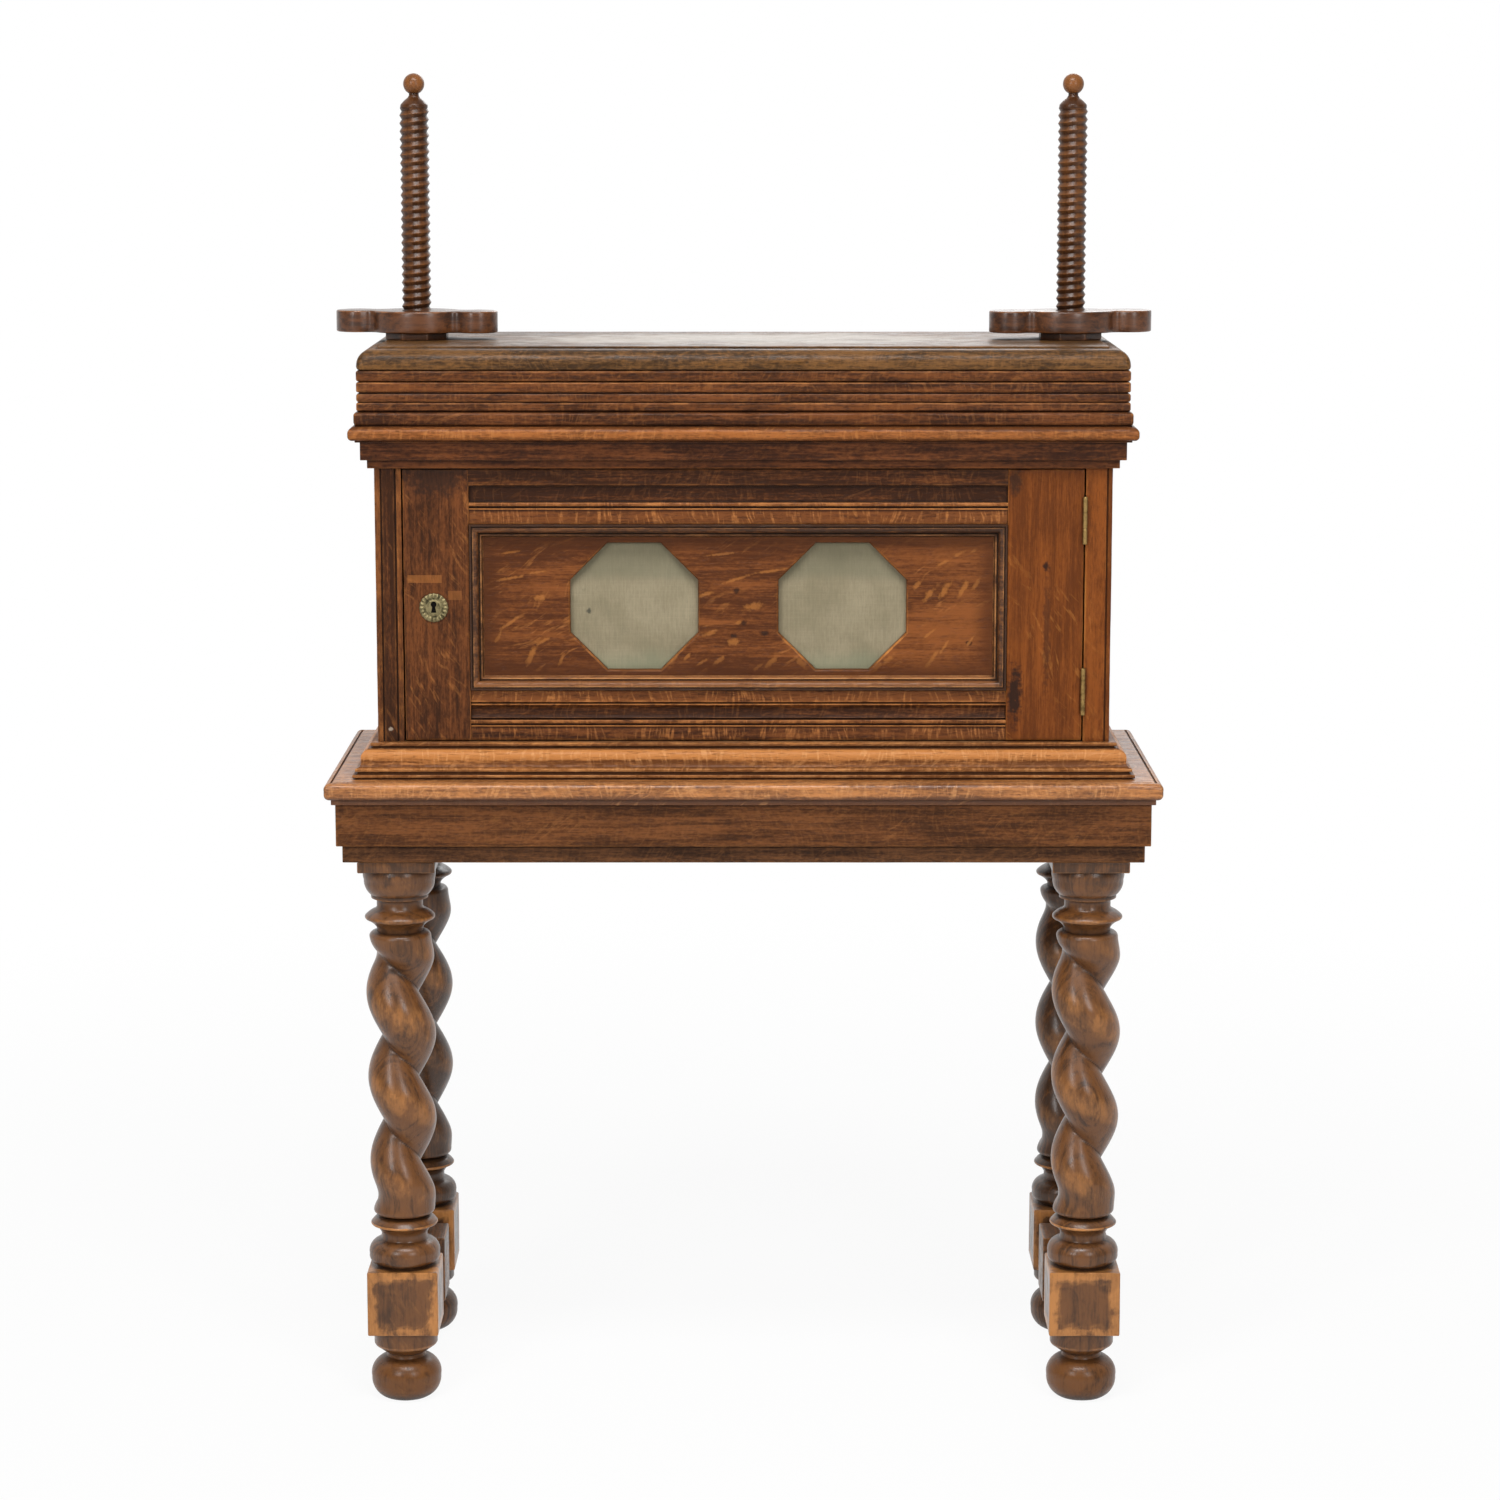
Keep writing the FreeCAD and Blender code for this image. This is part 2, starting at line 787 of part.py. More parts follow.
def make_carcass():
    inner_x = cab_x - S.side_thickness
    level = (cab_floor, cab_head)
    floor_z = (cab_floor - S.board_thickness, cab_floor)
    node(box("cabinet_floor", (-cab_x, cab_x), (-cab_y, cab_y), floor_z), "cabinet_floor")
    for side, sign in SIDES.items():
        x = span(sign * cab_x, sign * inner_x)
        node(box(f"cabinet_side_{side}", x, (door_back, cab_y), level), f"cabinet_side_{side}")
    back_y = (cab_y - S.back_thickness, cab_y)
    node(box("cabinet_back", (-inner_x, inner_x), back_y, (cab_floor, cornice_under)), "cabinet_back")
    stile_y = (door_front, door_back)
    node(box("front_stile_left", (-cab_x, -opening_x), stile_y, level), "front_stile_left")
    stile = box("front_stile_right_blank", (opening_x, cab_x), stile_y, level)
    node(cut("front_stile_right", stile, hinge_mortises("stile")), "front_stile_right")


def make_frieze():
    step_head = cab_head + S.frieze_step_height
    fillet_foot = cornice_under - S.frieze_fillet_height
    depth = S.side_thickness
    profile = [
        (-depth, cab_head),
        (S.frieze_step_projection, cab_head),
        (S.frieze_step_projection, step_head),
        (S.frieze_projection, step_head),
        (S.frieze_projection, fillet_foot),
        (S.frieze_fillet_projection, fillet_foot),
        (S.frieze_fillet_projection, cornice_under),
        (-depth, cornice_under),
    ]
    for along in ("front", "left", "right"):
        mitred_strip(f"frieze_{along}", profile, along, depth, S.frieze_fillet_projection)


def make_cornice():
    body = new_body("cornice_board")
    sketch = new_sketch(body, "XY_Plane", cornice_under)
    reach_x = cab_x + S.cornice_projection
    reach_y = cab_y + S.cornice_projection
    outline(sketch, rectangle((-reach_x, reach_x), (-reach_y, reach_y)))
    for sign in SIDES.values():
        circle(sketch, sign * screw_x, 0, S.shank_radius + S.shank_clearance)
    feature(body, "Pad", sketch, "Length", S.cornice_thickness)
    rims = [rim_at(z, reach_x, reach_y) for z in (cornice_under, cornice_top)]
    dress_edges(body, "Fillet", "Radius", S.cornice_round, lambda edge: any(rim(edge) for rim in rims))
    node(body, "cornice_board")


# Door

door_panel_x = (-door_x + S.lock_stile_width, door_x - S.hinge_stile_width)
door_panel_z = (door_foot + S.door_bottom_rail_height, door_head - S.door_top_rail_height)
panel_mid_x = (door_panel_x[0] + door_panel_x[1]) / 2
panel_mid_z = (door_panel_z[0] + door_panel_z[1]) / 2
lock_x = -door_x + S.lock_inset
lock_z = panel_mid_z
hinge_x = (door_x + opening_x) / 2
hinge_y = door_front - S.hinge_barrel_radius - S.hinge_play
hinge_levels = {
    "upper": door_head - S.hinge_top_inset,
    "lower": door_foot + S.hinge_bottom_inset,
}


def make_door_frame():
    y = (door_front, door_back)
    z = (door_foot, door_head)
    lock_stile = box("lock_stile_blank", (-door_x, door_panel_x[0]), y, z)
    key_way = keyhole("stile_keyhole", door_front, S.door_thickness)
    node(cut("door_stile_lock", lock_stile, key_way), "door_stile_lock")
    hinge_stile = box("hinge_stile_blank", (door_panel_x[1], door_x), y, z)
    node(cut("door_stile_hinge", hinge_stile, hinge_mortises("door")), "door_stile_hinge")
    make_door_rail("door_rail_top", door_head, door_panel_z[1], top_rail_face())
    make_door_rail("door_rail_bottom", door_panel_z[0], door_foot, bottom_rail_face())


def top_rail_face():
    """From the top: a plain edge, a hollow, a bead and a flat next to the panel."""
    hollow = door_front + S.rail_groove_depth
    flat = door_front + S.rail_flat_recess
    groove_head = door_head - S.rail_edge_height
    groove_foot = groove_head - S.rail_groove_height
    bead_foot = groove_foot - S.rail_bead_height
    return [
        (door_front, door_head),
        (door_front, groove_head),
        (hollow, groove_head),
        (hollow, groove_foot),
        (door_front, groove_foot),
        (flat, bead_foot, door_front, bead_foot + S.rail_bead_height * TOP_RAIL_BELLY),
        (flat, door_panel_z[1]),
    ]


def bottom_rail_face():
    """From the top: a flat next to the panel, a hollow, a bead and a plain edge."""
    hollow = door_front + S.rail_groove_depth
    flat = door_front + S.rail_flat_recess
    bead_foot = door_foot + S.rail_bottom_edge_height
    bead_head = bead_foot + S.rail_bead_height
    groove_head = bead_head + S.rail_groove_height
    return [
        (flat, door_panel_z[0]),
        (flat, groove_head),
        (hollow, groove_head),
        (hollow, bead_head),
        (door_front, bead_head),
        (flat, bead_foot, door_front, bead_head - S.rail_bead_height * BOTTOM_RAIL_BELLY),
        (flat, door_foot),
    ]


def make_door_rail(label, head, foot, face):
    body = new_body(label)
    sketch = new_sketch(body, "YZ_Plane", door_panel_x[0])
    outline(sketch, face + [(door_back, foot), (door_back, head)])
    feature(body, "Pad", sketch, "Length", door_panel_x[1] - door_panel_x[0])
    node(body, label)


def make_panel_moulding():
    """Four mitred strips that hold the panel in from the front."""
    width = S.frame_mould_width
    rise = door_front - S.frame_mould_rise
    seat = door_front + S.panel_recess
    step = door_front + S.frame_mould_depth
    shoulder = S.frame_mould_step
    hollow = shoulder + S.frame_mould_slope
    reach = 2 * width
    low_x, high_x = door_panel_x
    low_z, high_z = door_panel_z
    strips = []
    for side, upright, edge, sign in (
        ("left", True, low_x, 1),
        ("right", True, high_x, -1),
        ("bottom", False, low_z, 1),
        ("top", False, high_z, -1),
    ):
        body = new_body(f"panel_strip_{side}")
        points = [
            (edge, seat),
            (edge, rise),
            (edge + sign * shoulder, rise),
            (edge + sign * shoulder, step),
            (edge + sign * width, seat, edge + sign * hollow, step + S.frame_mould_hollow),
        ]
        low, high = (low_z, high_z) if upright else (low_x, high_x)
        if upright:
            sketch = new_sketch(body, "XY_Plane", low)
            outline(sketch, points)
        else:
            sketch = new_sketch(body, "YZ_Plane", low)
            outline(sketch, [(y, z, *reversed(via)) for z, y, *via in points])
        feature(body, "Pad", sketch, "Length", high - low)
        for end, inward in ((low, 1), (high, -1)):
            mitre = new_sketch(body, "XZ_Plane")
            corner = [(edge, end), (edge + sign * reach, end + inward * reach), (edge + sign * reach, end)]
            outline(mitre, corner if upright else [(z, x) for x, z in corner])
            cut_through(body, mitre)
        strips.append(body)
    node(compound("panel_moulding", strips), "panel_moulding")


def make_panel():
    body = new_body("door_panel")
    front = door_front + S.panel_recess
    sketch = new_sketch(body, "XZ_Plane", -(front + S.panel_thickness))
    outline(sketch, rectangle(door_panel_x, door_panel_z))
    feature(body, "Pad", sketch, "Length", S.panel_thickness)
    for sign in SIDES.values():
        x = panel_mid_x + sign * S.window_spacing / 2
        window = new_sketch(body, "XZ_Plane")
        outline(window, octagon(x, panel_mid_z, S.window_width / 2))
        cut_through(body, window)

    def front_rim(edge):
        frame = edge.BoundBox
        on_front = abs(frame.YMin - front.value) < 1e-4 and abs(frame.YMax - front.value) < 1e-4
        return on_front and edge.Length < S.window_width.value

    dress_edges(body, "Chamfer", "Size", S.window_bevel, front_rim)
    node(body, "door_panel")


def make_cloths():
    front = door_front + S.panel_recess + S.panel_thickness
    half = S.window_width / 2 + S.cloth_margin
    for side, sign in SIDES.items():
        x = panel_mid_x + sign * S.window_spacing / 2
        cloth = box(
            f"window_cloth_{side}",
            (x - half, x + half),
            (front, front + S.cloth_thickness),
            (panel_mid_z - half, panel_mid_z + half),
        )
        node(cloth, f"window_cloth_{side}")


# Hinges


def hinge_mortises(side):
    """Recesses for the two leaves in the door's edge or in the cabinet's stile."""
    sunk = S.hinge_leaf_thickness - (S.door_gap / 2 - S.hinge_leaf_play)
    x = (door_x - sunk, door_x) if side == "door" else (opening_x, opening_x + sunk)
    tools = []
    for name, level in hinge_levels.items():
        z = (level - S.hinge_length / 2, level + S.hinge_length / 2)
        tools.append(box(f"{side}_mortise_{name}", x, (door_front, door_front + S.hinge_leaf_width), z))
    return tools


def hinge_leaf(side, name, level):
    """A leaf with its share of the knuckles: the door's is the middle one."""
    inner = hinge_x + (-1 if side == "door" else 1) * S.hinge_leaf_play
    outer = inner + (-1 if side == "door" else 1) * S.hinge_leaf_thickness
    x = span(inner, outer)
    foot = level - S.hinge_length / 2
    knuckle = S.hinge_length / 3
    spans = [(1, 2)] if side == "door" else [(0, 1), (2, 3)]
    plate_y = (door_front, door_front + S.hinge_leaf_width)
    pieces = [box(f"{side}_plate_{name}", x, plate_y, (foot, foot + S.hinge_length))]
    play = S.hinge_play / 2
    for first, last in spans:
        z_low = foot + knuckle * first + (play if first else 0)
        z_high = foot + knuckle * last - (play if last < 3 else 0)
        tag = f"{side}_{name}_{first}"
        pieces.append(box(f"tab_{tag}", x, (hinge_y, door_front), (z_low, z_high)))
        base = (hinge_x, hinge_y, z_low)
        pieces.append(cylinder(f"barrel_{tag}", S.hinge_barrel_radius, z_high - z_low, base))
    leaf = fuse(f"{side}_leaf_{name}_blank", pieces)
    bore = cylinder(
        f"{side}_bore_{name}",
        S.hinge_pin_radius + S.hinge_pin_clearance,
        S.hinge_length,
        (hinge_x, hinge_y, foot),
    )
    return cut(f"{side}_leaf_{name}", leaf, [bore])


def make_hinges():
    for side, label in (("door", "hinge_door_leaves"), ("stile", "hinge_fixed_leaves")):
        leaves = [hinge_leaf(side, name, level) for name, level in hinge_levels.items()]
        node(compound(label, leaves), label)
    pins = []
    for name, level in hinge_levels.items():
        base = (hinge_x, hinge_y, level - S.hinge_length / 2)
        pins.append(cylinder(f"pin_{name}", S.hinge_pin_radius, S.hinge_length, base))
    node(compound("hinge_pins", pins), "hinge_pins")


# Lock


def keyhole(name, front, depth):
    """A round hole over a slot, cut back from a face."""
    hole = cylinder(f"{name}_round", S.keyhole_radius, depth, (lock_x, front, lock_z), (0, 0, -90))
    half = S.keyhole_slot_width / 2
    slot = box(
        f"{name}_slot",
        (lock_x - half, lock_x + half),
        (front, front + depth),
        (lock_z - S.keyhole_slot_height, lock_z),
    )
    return [hole, slot]


def make_escutcheon():
    face = door_front - S.escutcheon_thickness
    rim = S.escutcheon_radius - S.escutcheon_bevel
    body = new_body("escutcheon_blank")
    sketch = new_sketch(body, "XY_Plane")
    outline(sketch, [
        (0, 0),
        (S.escutcheon_radius, 0),
        (S.escutcheon_radius, -S.escutcheon_thickness + S.escutcheon_bevel),
        (rim, -S.escutcheon_thickness),
        (0, -S.escutcheon_thickness),
    ])
    revolve(body, sketch, "y")
    place(body, lock_x, door_front, lock_z)
    node(cut("escutcheon", body, keyhole("escutcheon_keyhole", face, S.escutcheon_thickness)), "escutcheon")


def make_lock():
    bolt_y = door_back + (S.lock_case_depth - S.bolt_depth) / 2
    bolt_x = -door_x + S.bolt_setback
    half = S.bolt_height / 2
    bolt = box(
        "lock_bolt",
        (bolt_x, bolt_x + S.bolt_width),
        (bolt_y, bolt_y + S.bolt_depth),
        (lock_z - half, lock_z + half),
    )
    node(bolt, "lock_bolt")

    case_x = bolt_x + S.bolt_setback
    case = box(
        "lock_case_blank",
        (case_x, case_x + S.lock_case_width),
        (door_back, door_back + S.lock_case_depth),
        (lock_z - S.lock_case_height / 2, lock_z + S.lock_case_height / 2),
    )
    free = S.bolt_clearance
    channel = box(
        "lock_channel",
        (case_x, bolt_x + S.bolt_width + free),
        (bolt_y - free, bolt_y + S.bolt_depth + free),
        (lock_z - half - free, lock_z + half + free),
    )
    key_way = keyhole("case_keyhole", door_back, S.lock_case_depth / 2)
    node(cut("lock_case", case, [channel] + key_way), "lock_case")

    strike_half = S.strike_height / 2
    strike = box(
        "lock_strike",
        (-opening_x - S.strike_width, -opening_x),
        (door_back, door_back + S.strike_thickness),
        (lock_z - strike_half, lock_z + strike_half),
    )
    node(strike, "lock_strike")


# Press boards


def drilled_slab(name, reach_x, reach_y, low, high):
    body = new_body(name)
    sketch = new_sketch(body, "XY_Plane", low)
    outline(sketch, rectangle((-reach_x, reach_x), (-reach_y, reach_y)))
    for sign in SIDES.values():
        circle(sketch, sign * screw_x, 0, hole_radius)
    feature(body, "Pad", sketch, "Length", high - low)
    return body


def rounded_slab(name, reach_x, reach_y, low, high):
    body = drilled_slab(name, reach_x, reach_y, low, high)
    rims = [rim_at(z, reach_x, reach_y) for z in (low, high)]
    dress_edges(body, "Fillet", "Radius", S.board_round, lambda edge: any(rim(edge) for rim in rims))
    return body


def make_press_boards():
    ledge = cornice_top + S.bed_lower_height
    bed_x, bed_y = press_x + S.bed_step, press_y + S.bed_step
    bed = fuse("press_bed", [
        rounded_slab("bed_lower", bed_x, bed_y, cornice_top, ledge),
        rounded_slab("bed_upper", press_x, press_y, ledge, bed_top),
    ])
    node(bed, "press_bed")

    lower = rounded_slab("lower_blank", press_x, press_y, bed_top, lower_top)
    groove_foot = bed_top + S.lower_board_height * GROOVE_LEVEL
    level = (groove_foot, groove_foot + S.groove_width)
    core_x, core_y = press_x - S.groove_depth, press_y - S.groove_depth
    band = box("groove_band", (-press_x, press_x), (-press_y, press_y), level)
    core = box("groove_core", (-core_x, core_x), (-core_y, core_y), level)
    node(cut("press_board_lower", lower, [cut("groove", band, [core])]), "press_board_lower")

    node(rounded_slab("press_board_middle", press_x, press_y, lower_top, middle_top), "press_board_middle")

    top = drilled_slab("press_board_top", press_x, press_y, middle_top, stack_top)
    dress_edges(top, "Fillet", "Radius", S.top_board_round, rim_at(stack_top, press_x, press_y))
    node(top, "press_board_top")


# Screws, nuts and washers


def thread_profile(sketch, inner, outer, root_width, crest_width, level):
    outline(sketch, [
        (inner, level - root_width / 2),
        (outer, level - crest_width / 2),
        (outer, level + crest_width / 2),
        (inner, level + root_width / 2),
    ])


def helix(body, kind, sketch, height):
    thread = feature(body, kind, sketch)
    thread.ReferenceAxis = (origin(body, "Z_Axis"), [""])
    thread.Mode = 0
    bind(thread, "Pitch", S.thread_pitch)
    bind(thread, "Height", height)


def make_screws():
    shoulder = cornice_top + S.shoulder_height
    collar_top = thread_top + S.collar_height
    neck_top = collar_top + S.finial_neck_height
    finial_mid = neck_top + S.finial_radius.beside(S.finial_neck_radius)
    finial_top = finial_mid + S.finial_radius
    shank_foot = cornice_top - S.shank_length
    root = S.thread_root_radius
    start = shoulder + S.thread_root_width / 2
    for side, sign in SIDES.items():
        body = new_body(f"screw_{side}_turned")
        sketch = new_sketch(body, "XZ_Plane")
        outline(sketch, [
            (0, shank_foot),
            (S.shank_radius, shank_foot),
            (S.shank_radius, cornice_top),
            (S.thread_radius, cornice_top),
            (S.thread_radius, shoulder),
            (root, shoulder),
            (root, thread_top),
            (S.finial_neck_radius, collar_top),
            (S.finial_neck_radius, neck_top),
            (0, finial_top, S.finial_radius, finial_mid),
        ])
        revolve(body, sketch, "z")
        tooth = new_sketch(body, "XZ_Plane")
        inner = root - S.thread_sink
        thread_profile(tooth, inner, S.thread_radius, S.thread_root_width, S.thread_crest_width, start)
        helix(body, "AdditiveHelix", tooth, thread_top - start - S.thread_runout)
        place(body, sign * screw_x, 0, 0)
        node(cut(f"screw_{side}", body, [peg(f"peg_hole_{side}", sign, S.shank_clearance)]), f"screw_{side}")
    node(compound("screw_pegs", [peg(f"peg_{side}", sign, 0) for side, sign in SIDES.items()]), "screw_pegs")


def peg(name, sign, clearance):
    """The pin through a screw's shank, close under the cornice, or its hole."""
    base = (sign * screw_x, -S.peg_length / 2, cornice_under - S.peg_radius)
    return cylinder(name, S.peg_radius + clearance, S.peg_length, base, (0, 0, -90))


def make_washers():
    for side, sign in SIDES.items():
        body = new_body(f"washer_{side}")
        sketch = new_sketch(body, "XY_Plane", stack_top)
        outline(sketch, octagon(0, 0, S.washer_width / 2))
        circle(sketch, 0, 0, hole_radius)
        feature(body, "Pad", sketch, "Length", S.washer_height)
        place(body, sign * screw_x, 0, 0)
        node(body, f"washer_{side}")


def make_nuts():
    reach, waist = S.nut_waist_reach, S.nut_waist_width / 2
    tip = S.nut_length / 2
    bore = S.thread_root_radius + S.thread_clearance
    start = cornice_top + S.shoulder_height + S.thread_root_width / 2
    turns_below = math.floor((washer_top.value - start.value) / S.thread_pitch.value) - 1
    groove_start = start + turns_below * S.thread_pitch
    wide = 2 * S.thread_clearance
    for side, sign in SIDES.items():
        blank = new_body(f"nut_{side}_blank")
        sketch = new_sketch(blank, "XY_Plane", washer_top)
        outline(sketch, [
            (-reach, waist, 0, S.nut_hub_radius),
            (-reach, -waist, -tip, 0),
            (reach, -waist, 0, -S.nut_hub_radius),
            (reach, waist, tip, 0),
        ])
        feature(blank, "Pad", sketch, "Length", S.nut_height)
        dress_edges(blank, "Fillet", "Radius", S.nut_waist_round, lambda edge: edge.BoundBox.ZLength > 1)
        dress_edges(blank, "Fillet", "Radius", S.nut_round, lambda edge: edge.BoundBox.ZLength < 1e-4)
        blank.Placement.Rotation = FreeCAD.Rotation(NUT_TURN[side], 0, 0)
        place(blank, sign * screw_x, 0, 0)

        tap = new_body(f"nut_{side}_tap")
        core = new_sketch(tap, "XY_Plane", washer_top - S.thread_pitch)
        circle(core, 0, 0, bore)
        feature(tap, "Pad", core, "Length", S.nut_height + 2 * S.thread_pitch)
        tooth = new_sketch(tap, "XZ_Plane")
        thread_profile(
            tooth,
            bore - S.thread_sink,
            S.thread_radius + S.thread_clearance,
            S.thread_root_width + wide,
            S.thread_crest_width + wide,
            groove_start,
        )
        helix(tap, "AdditiveHelix", tooth, S.nut_height + 3 * S.thread_pitch)
        place(tap, sign * screw_x, 0, 0)
        node(cut(f"nut_{side}", blank, [tap]), f"nut_{side}")


make_stand_top()
make_aprons()
make_legs()
make_feet()
make_stretchers()
make_plinth()
make_carcass()
make_frieze()
make_cornice()
make_door_frame()
make_panel_moulding()
make_panel()
make_cloths()
make_hinges()
make_escutcheon()
make_lock()
make_press_boards()
make_screws()
make_washers()
make_nuts()

doc.recompute()

faults = [thing.Name for thing in doc.Objects if {"Invalid", "Error"} & set(thing.State)]
faults += [thing.Label for thing in nodes if thing.Shape.isNull() or not thing.Shape.isValid()]
if faults:
    raise RuntimeError("not built: " + ", ".join(faults))

os.makedirs("parts", exist_ok=True)
for thing in nodes:
    thing.Shape.exportStep(f"parts/{thing.Label}.step")
    print(f"{thing.Label}: {len(thing.Shape.Solids)} solids, {thing.Shape.Volume / 1000:.1f} cm3")
print(len(nodes), "nodes")
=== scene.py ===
"""Looks of the oak linen press: worn oak, old brass and linen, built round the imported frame."""
import cmath
import json
import math

import bmesh
import bpy
import numpy as np
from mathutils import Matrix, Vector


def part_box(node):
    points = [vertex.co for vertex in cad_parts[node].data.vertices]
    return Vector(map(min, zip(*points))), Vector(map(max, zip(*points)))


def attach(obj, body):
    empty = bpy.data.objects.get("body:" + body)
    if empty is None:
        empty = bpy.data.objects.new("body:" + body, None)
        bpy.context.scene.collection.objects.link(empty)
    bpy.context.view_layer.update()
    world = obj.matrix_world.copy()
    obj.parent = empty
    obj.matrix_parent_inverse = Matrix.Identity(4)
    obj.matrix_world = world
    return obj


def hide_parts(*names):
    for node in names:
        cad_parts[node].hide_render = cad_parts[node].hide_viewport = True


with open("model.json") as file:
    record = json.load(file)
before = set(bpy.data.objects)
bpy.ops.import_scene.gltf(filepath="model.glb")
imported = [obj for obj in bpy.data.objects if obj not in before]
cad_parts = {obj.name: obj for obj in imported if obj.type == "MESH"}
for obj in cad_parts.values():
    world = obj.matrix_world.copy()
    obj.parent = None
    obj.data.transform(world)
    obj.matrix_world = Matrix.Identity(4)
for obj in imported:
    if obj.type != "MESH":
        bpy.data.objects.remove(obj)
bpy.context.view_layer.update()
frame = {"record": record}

# Lengths are millimetres; meshes are stored in metres
MM = 0.001
FULL_TURN = 2 * math.pi
SEED = 1741
SIDES = {"left": -1, "right": 1}
ENDS = ("front", "back")

BODY_OF = {
    node: body
    for body, nodes in frame["record"]["behaviour"]["bodies"].items()
    for node in nodes
}


def box_mm(node):
    low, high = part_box(node)
    return np.array(low) / MM, np.array(high) / MM


def middle_of(node):
    low, high = box_mm(node)
    return (low + high) / 2


def add_object(name, data):
    made = bpy.data.objects.new(name, data)
    bpy.context.collection.objects.link(made)
    return made


def smooth_step(low, high, value):
    t = np.clip((value - low) / (high - low), 0, 1)
    return t * t * (3 - 2 * t)


def wobble_at(points, seed, wavelength, count=14, gain=1.6):
    """A smooth field of bumps between about -1 and 1: sine waves in fixed random directions."""
    draw = np.random.default_rng(SEED + seed)
    heading = draw.normal(size=(count, 3))
    heading /= np.linalg.norm(heading, axis=1)[:, None]
    length = wavelength * draw.uniform(0.6, 1.8, size=count)
    phase = draw.uniform(0, FULL_TURN, size=count)
    waves = heading * (FULL_TURN / length)[:, None]
    return gain * np.sin(points @ waves.T + phase).mean(axis=1)


# Mesh building

# Points closer than this are one point
WELD = 0.004
# Bends per millimetre between which an edge gets rubbed and a hollow gets darkened with dirt and painted
# shade
EDGE_BEND = (0.05, 0.35)
HOLLOW_BEND = (0.03, 0.3)


class Shell:
    """Points and faces that are gathered into one piece, with how far each point is rubbed by hand."""

    def __init__(self):
        self.points, self.faces, self.worn = [], [], []

    def add(self, points, faces, worn=None):
        start = len(self.points)
        self.points.extend(np.asarray(points, dtype=float).tolist())
        self.faces.extend(tuple(int(i) + start for i in face) for face in faces)
        self.worn.extend([0.0] * len(points) if worn is None else worn)

    def rings(self, rings, worn=None, caps=True):
        """Faces between rings of equal count, with an end face on the first and last ring."""
        count = len(rings[0])
        last = (len(rings) - 1) * count
        faces = []
        for row in range(0, last, count):
            for i in range(count):
                a, b = row + i, row + (i + 1) % count
                faces.append((a, b, b + count, a + count))
        if caps:
            faces += [range(count - 1, -1, -1), range(last, last + count)]
        self.add(np.concatenate(rings), faces, worn)


def surface_bend(mesh):
    """Place, normal and mean bend at each point: positive on edges, negative in corners."""
    count = len(mesh.vertices)
    place = np.empty(count * 3)
    mesh.vertices.foreach_get("co", place)
    place = place.reshape(-1, 3) / MM
    normal = np.array([v.vector for v in mesh.vertex_normals])
    edges = np.empty(len(mesh.edges) * 2, dtype=int)
    mesh.edges.foreach_get("vertices", edges)
    first, second = edges.reshape(-1, 2).T
    step = place[first] - place[second]
    length = np.maximum(np.linalg.norm(step, axis=1), 0.05)
    total, weight = np.zeros(count), np.zeros(count)
    for here, sign in ((first, 1), (second, -1)):
        bend = 2 * sign * np.einsum("ij,ij->i", normal[here], step) / length**2
        np.add.at(total, here, bend)
        np.add.at(weight, here, 1)
    return place, normal, total / np.maximum(weight, 1)


def welded_mesh(name, shell):
    """The shell's mesh with its seams joined, and the rubbing of its points."""
    mesh = bpy.data.meshes.new(name)
    mesh.from_pydata((np.array(shell.points) * MM).tolist(), [], shell.faces)
    joined = bmesh.new()
    joined.from_mesh(mesh)
    layer = joined.verts.layers.float.new("worn_by_hand")
    for vert, worn in zip(joined.verts, shell.worn):
        vert[layer] = worn
    bmesh.ops.remove_doubles(joined, verts=joined.verts, dist=WELD * MM)
    bmesh.ops.recalc_face_normals(joined, faces=joined.faces)
    hand = np.array([vert[layer] for vert in joined.verts])
    joined.verts.layers.float.remove(layer)
    joined.to_mesh(mesh)
    joined.free()
    return mesh, hand


def finish_piece(
    name, shell, material, node=None, body=None, slot="oak", seed=0, wobble=0.12, chip=0.5, angle=38,
    tint=None, grime=1.0,
):
    """Makes the piece: worn edges and bumps in the mesh, marks for the finish, and its place in the frame."""
    mesh, hand = welded_mesh(name, shell)
    place, normal, bend = surface_bend(mesh)
    edge = smooth_step(*EDGE_BEND, bend)
    # Concave points are marked to be darkened with dirt and painted shade
    hollow = grime * smooth_step(*HOLLOW_BEND, -bend)
    large, small = (
        np.clip(wobble_at(place, seed + more, wave), 0, 1) ** 2 for more, wave in ((50, 26), (90, 9))
    )
    bumps = wobble_at(place, seed, 70) + 0.35 * wobble_at(place, seed + 7, 18)
    shift = wobble * bumps - chip * edge * (large + 0.35 * small)
    place = place + normal * shift[:, None]
    mesh.vertices.foreach_set("co", (place * MM).ravel())
    shade = np.zeros(len(place)) if tint is None else tint(place)
    # Stretches given a dark shade, partly dirt and partly painted shade, are not rubbed bright
    rubbed = np.maximum(edge, hand) * np.clip(1 + 4 * shade, 0, 1)
    for label, value in (("wear", rubbed), ("hollow", hollow), ("shade", shade)):
        layer = mesh.attributes.new(label, "FLOAT", "POINT")
        layer.data.foreach_set("value", value.astype(np.float32))
    mesh.shade_smooth()
    mesh.set_sharp_from_angle(angle=math.radians(angle))
    mesh.materials.append(material)
    mesh.update()
    piece = add_object(name, mesh)
    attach(piece, body or BODY_OF[node])
    if node:
        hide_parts(node)
    return piece


# Outlines: a point is (x, y), and a bend leads over a via point


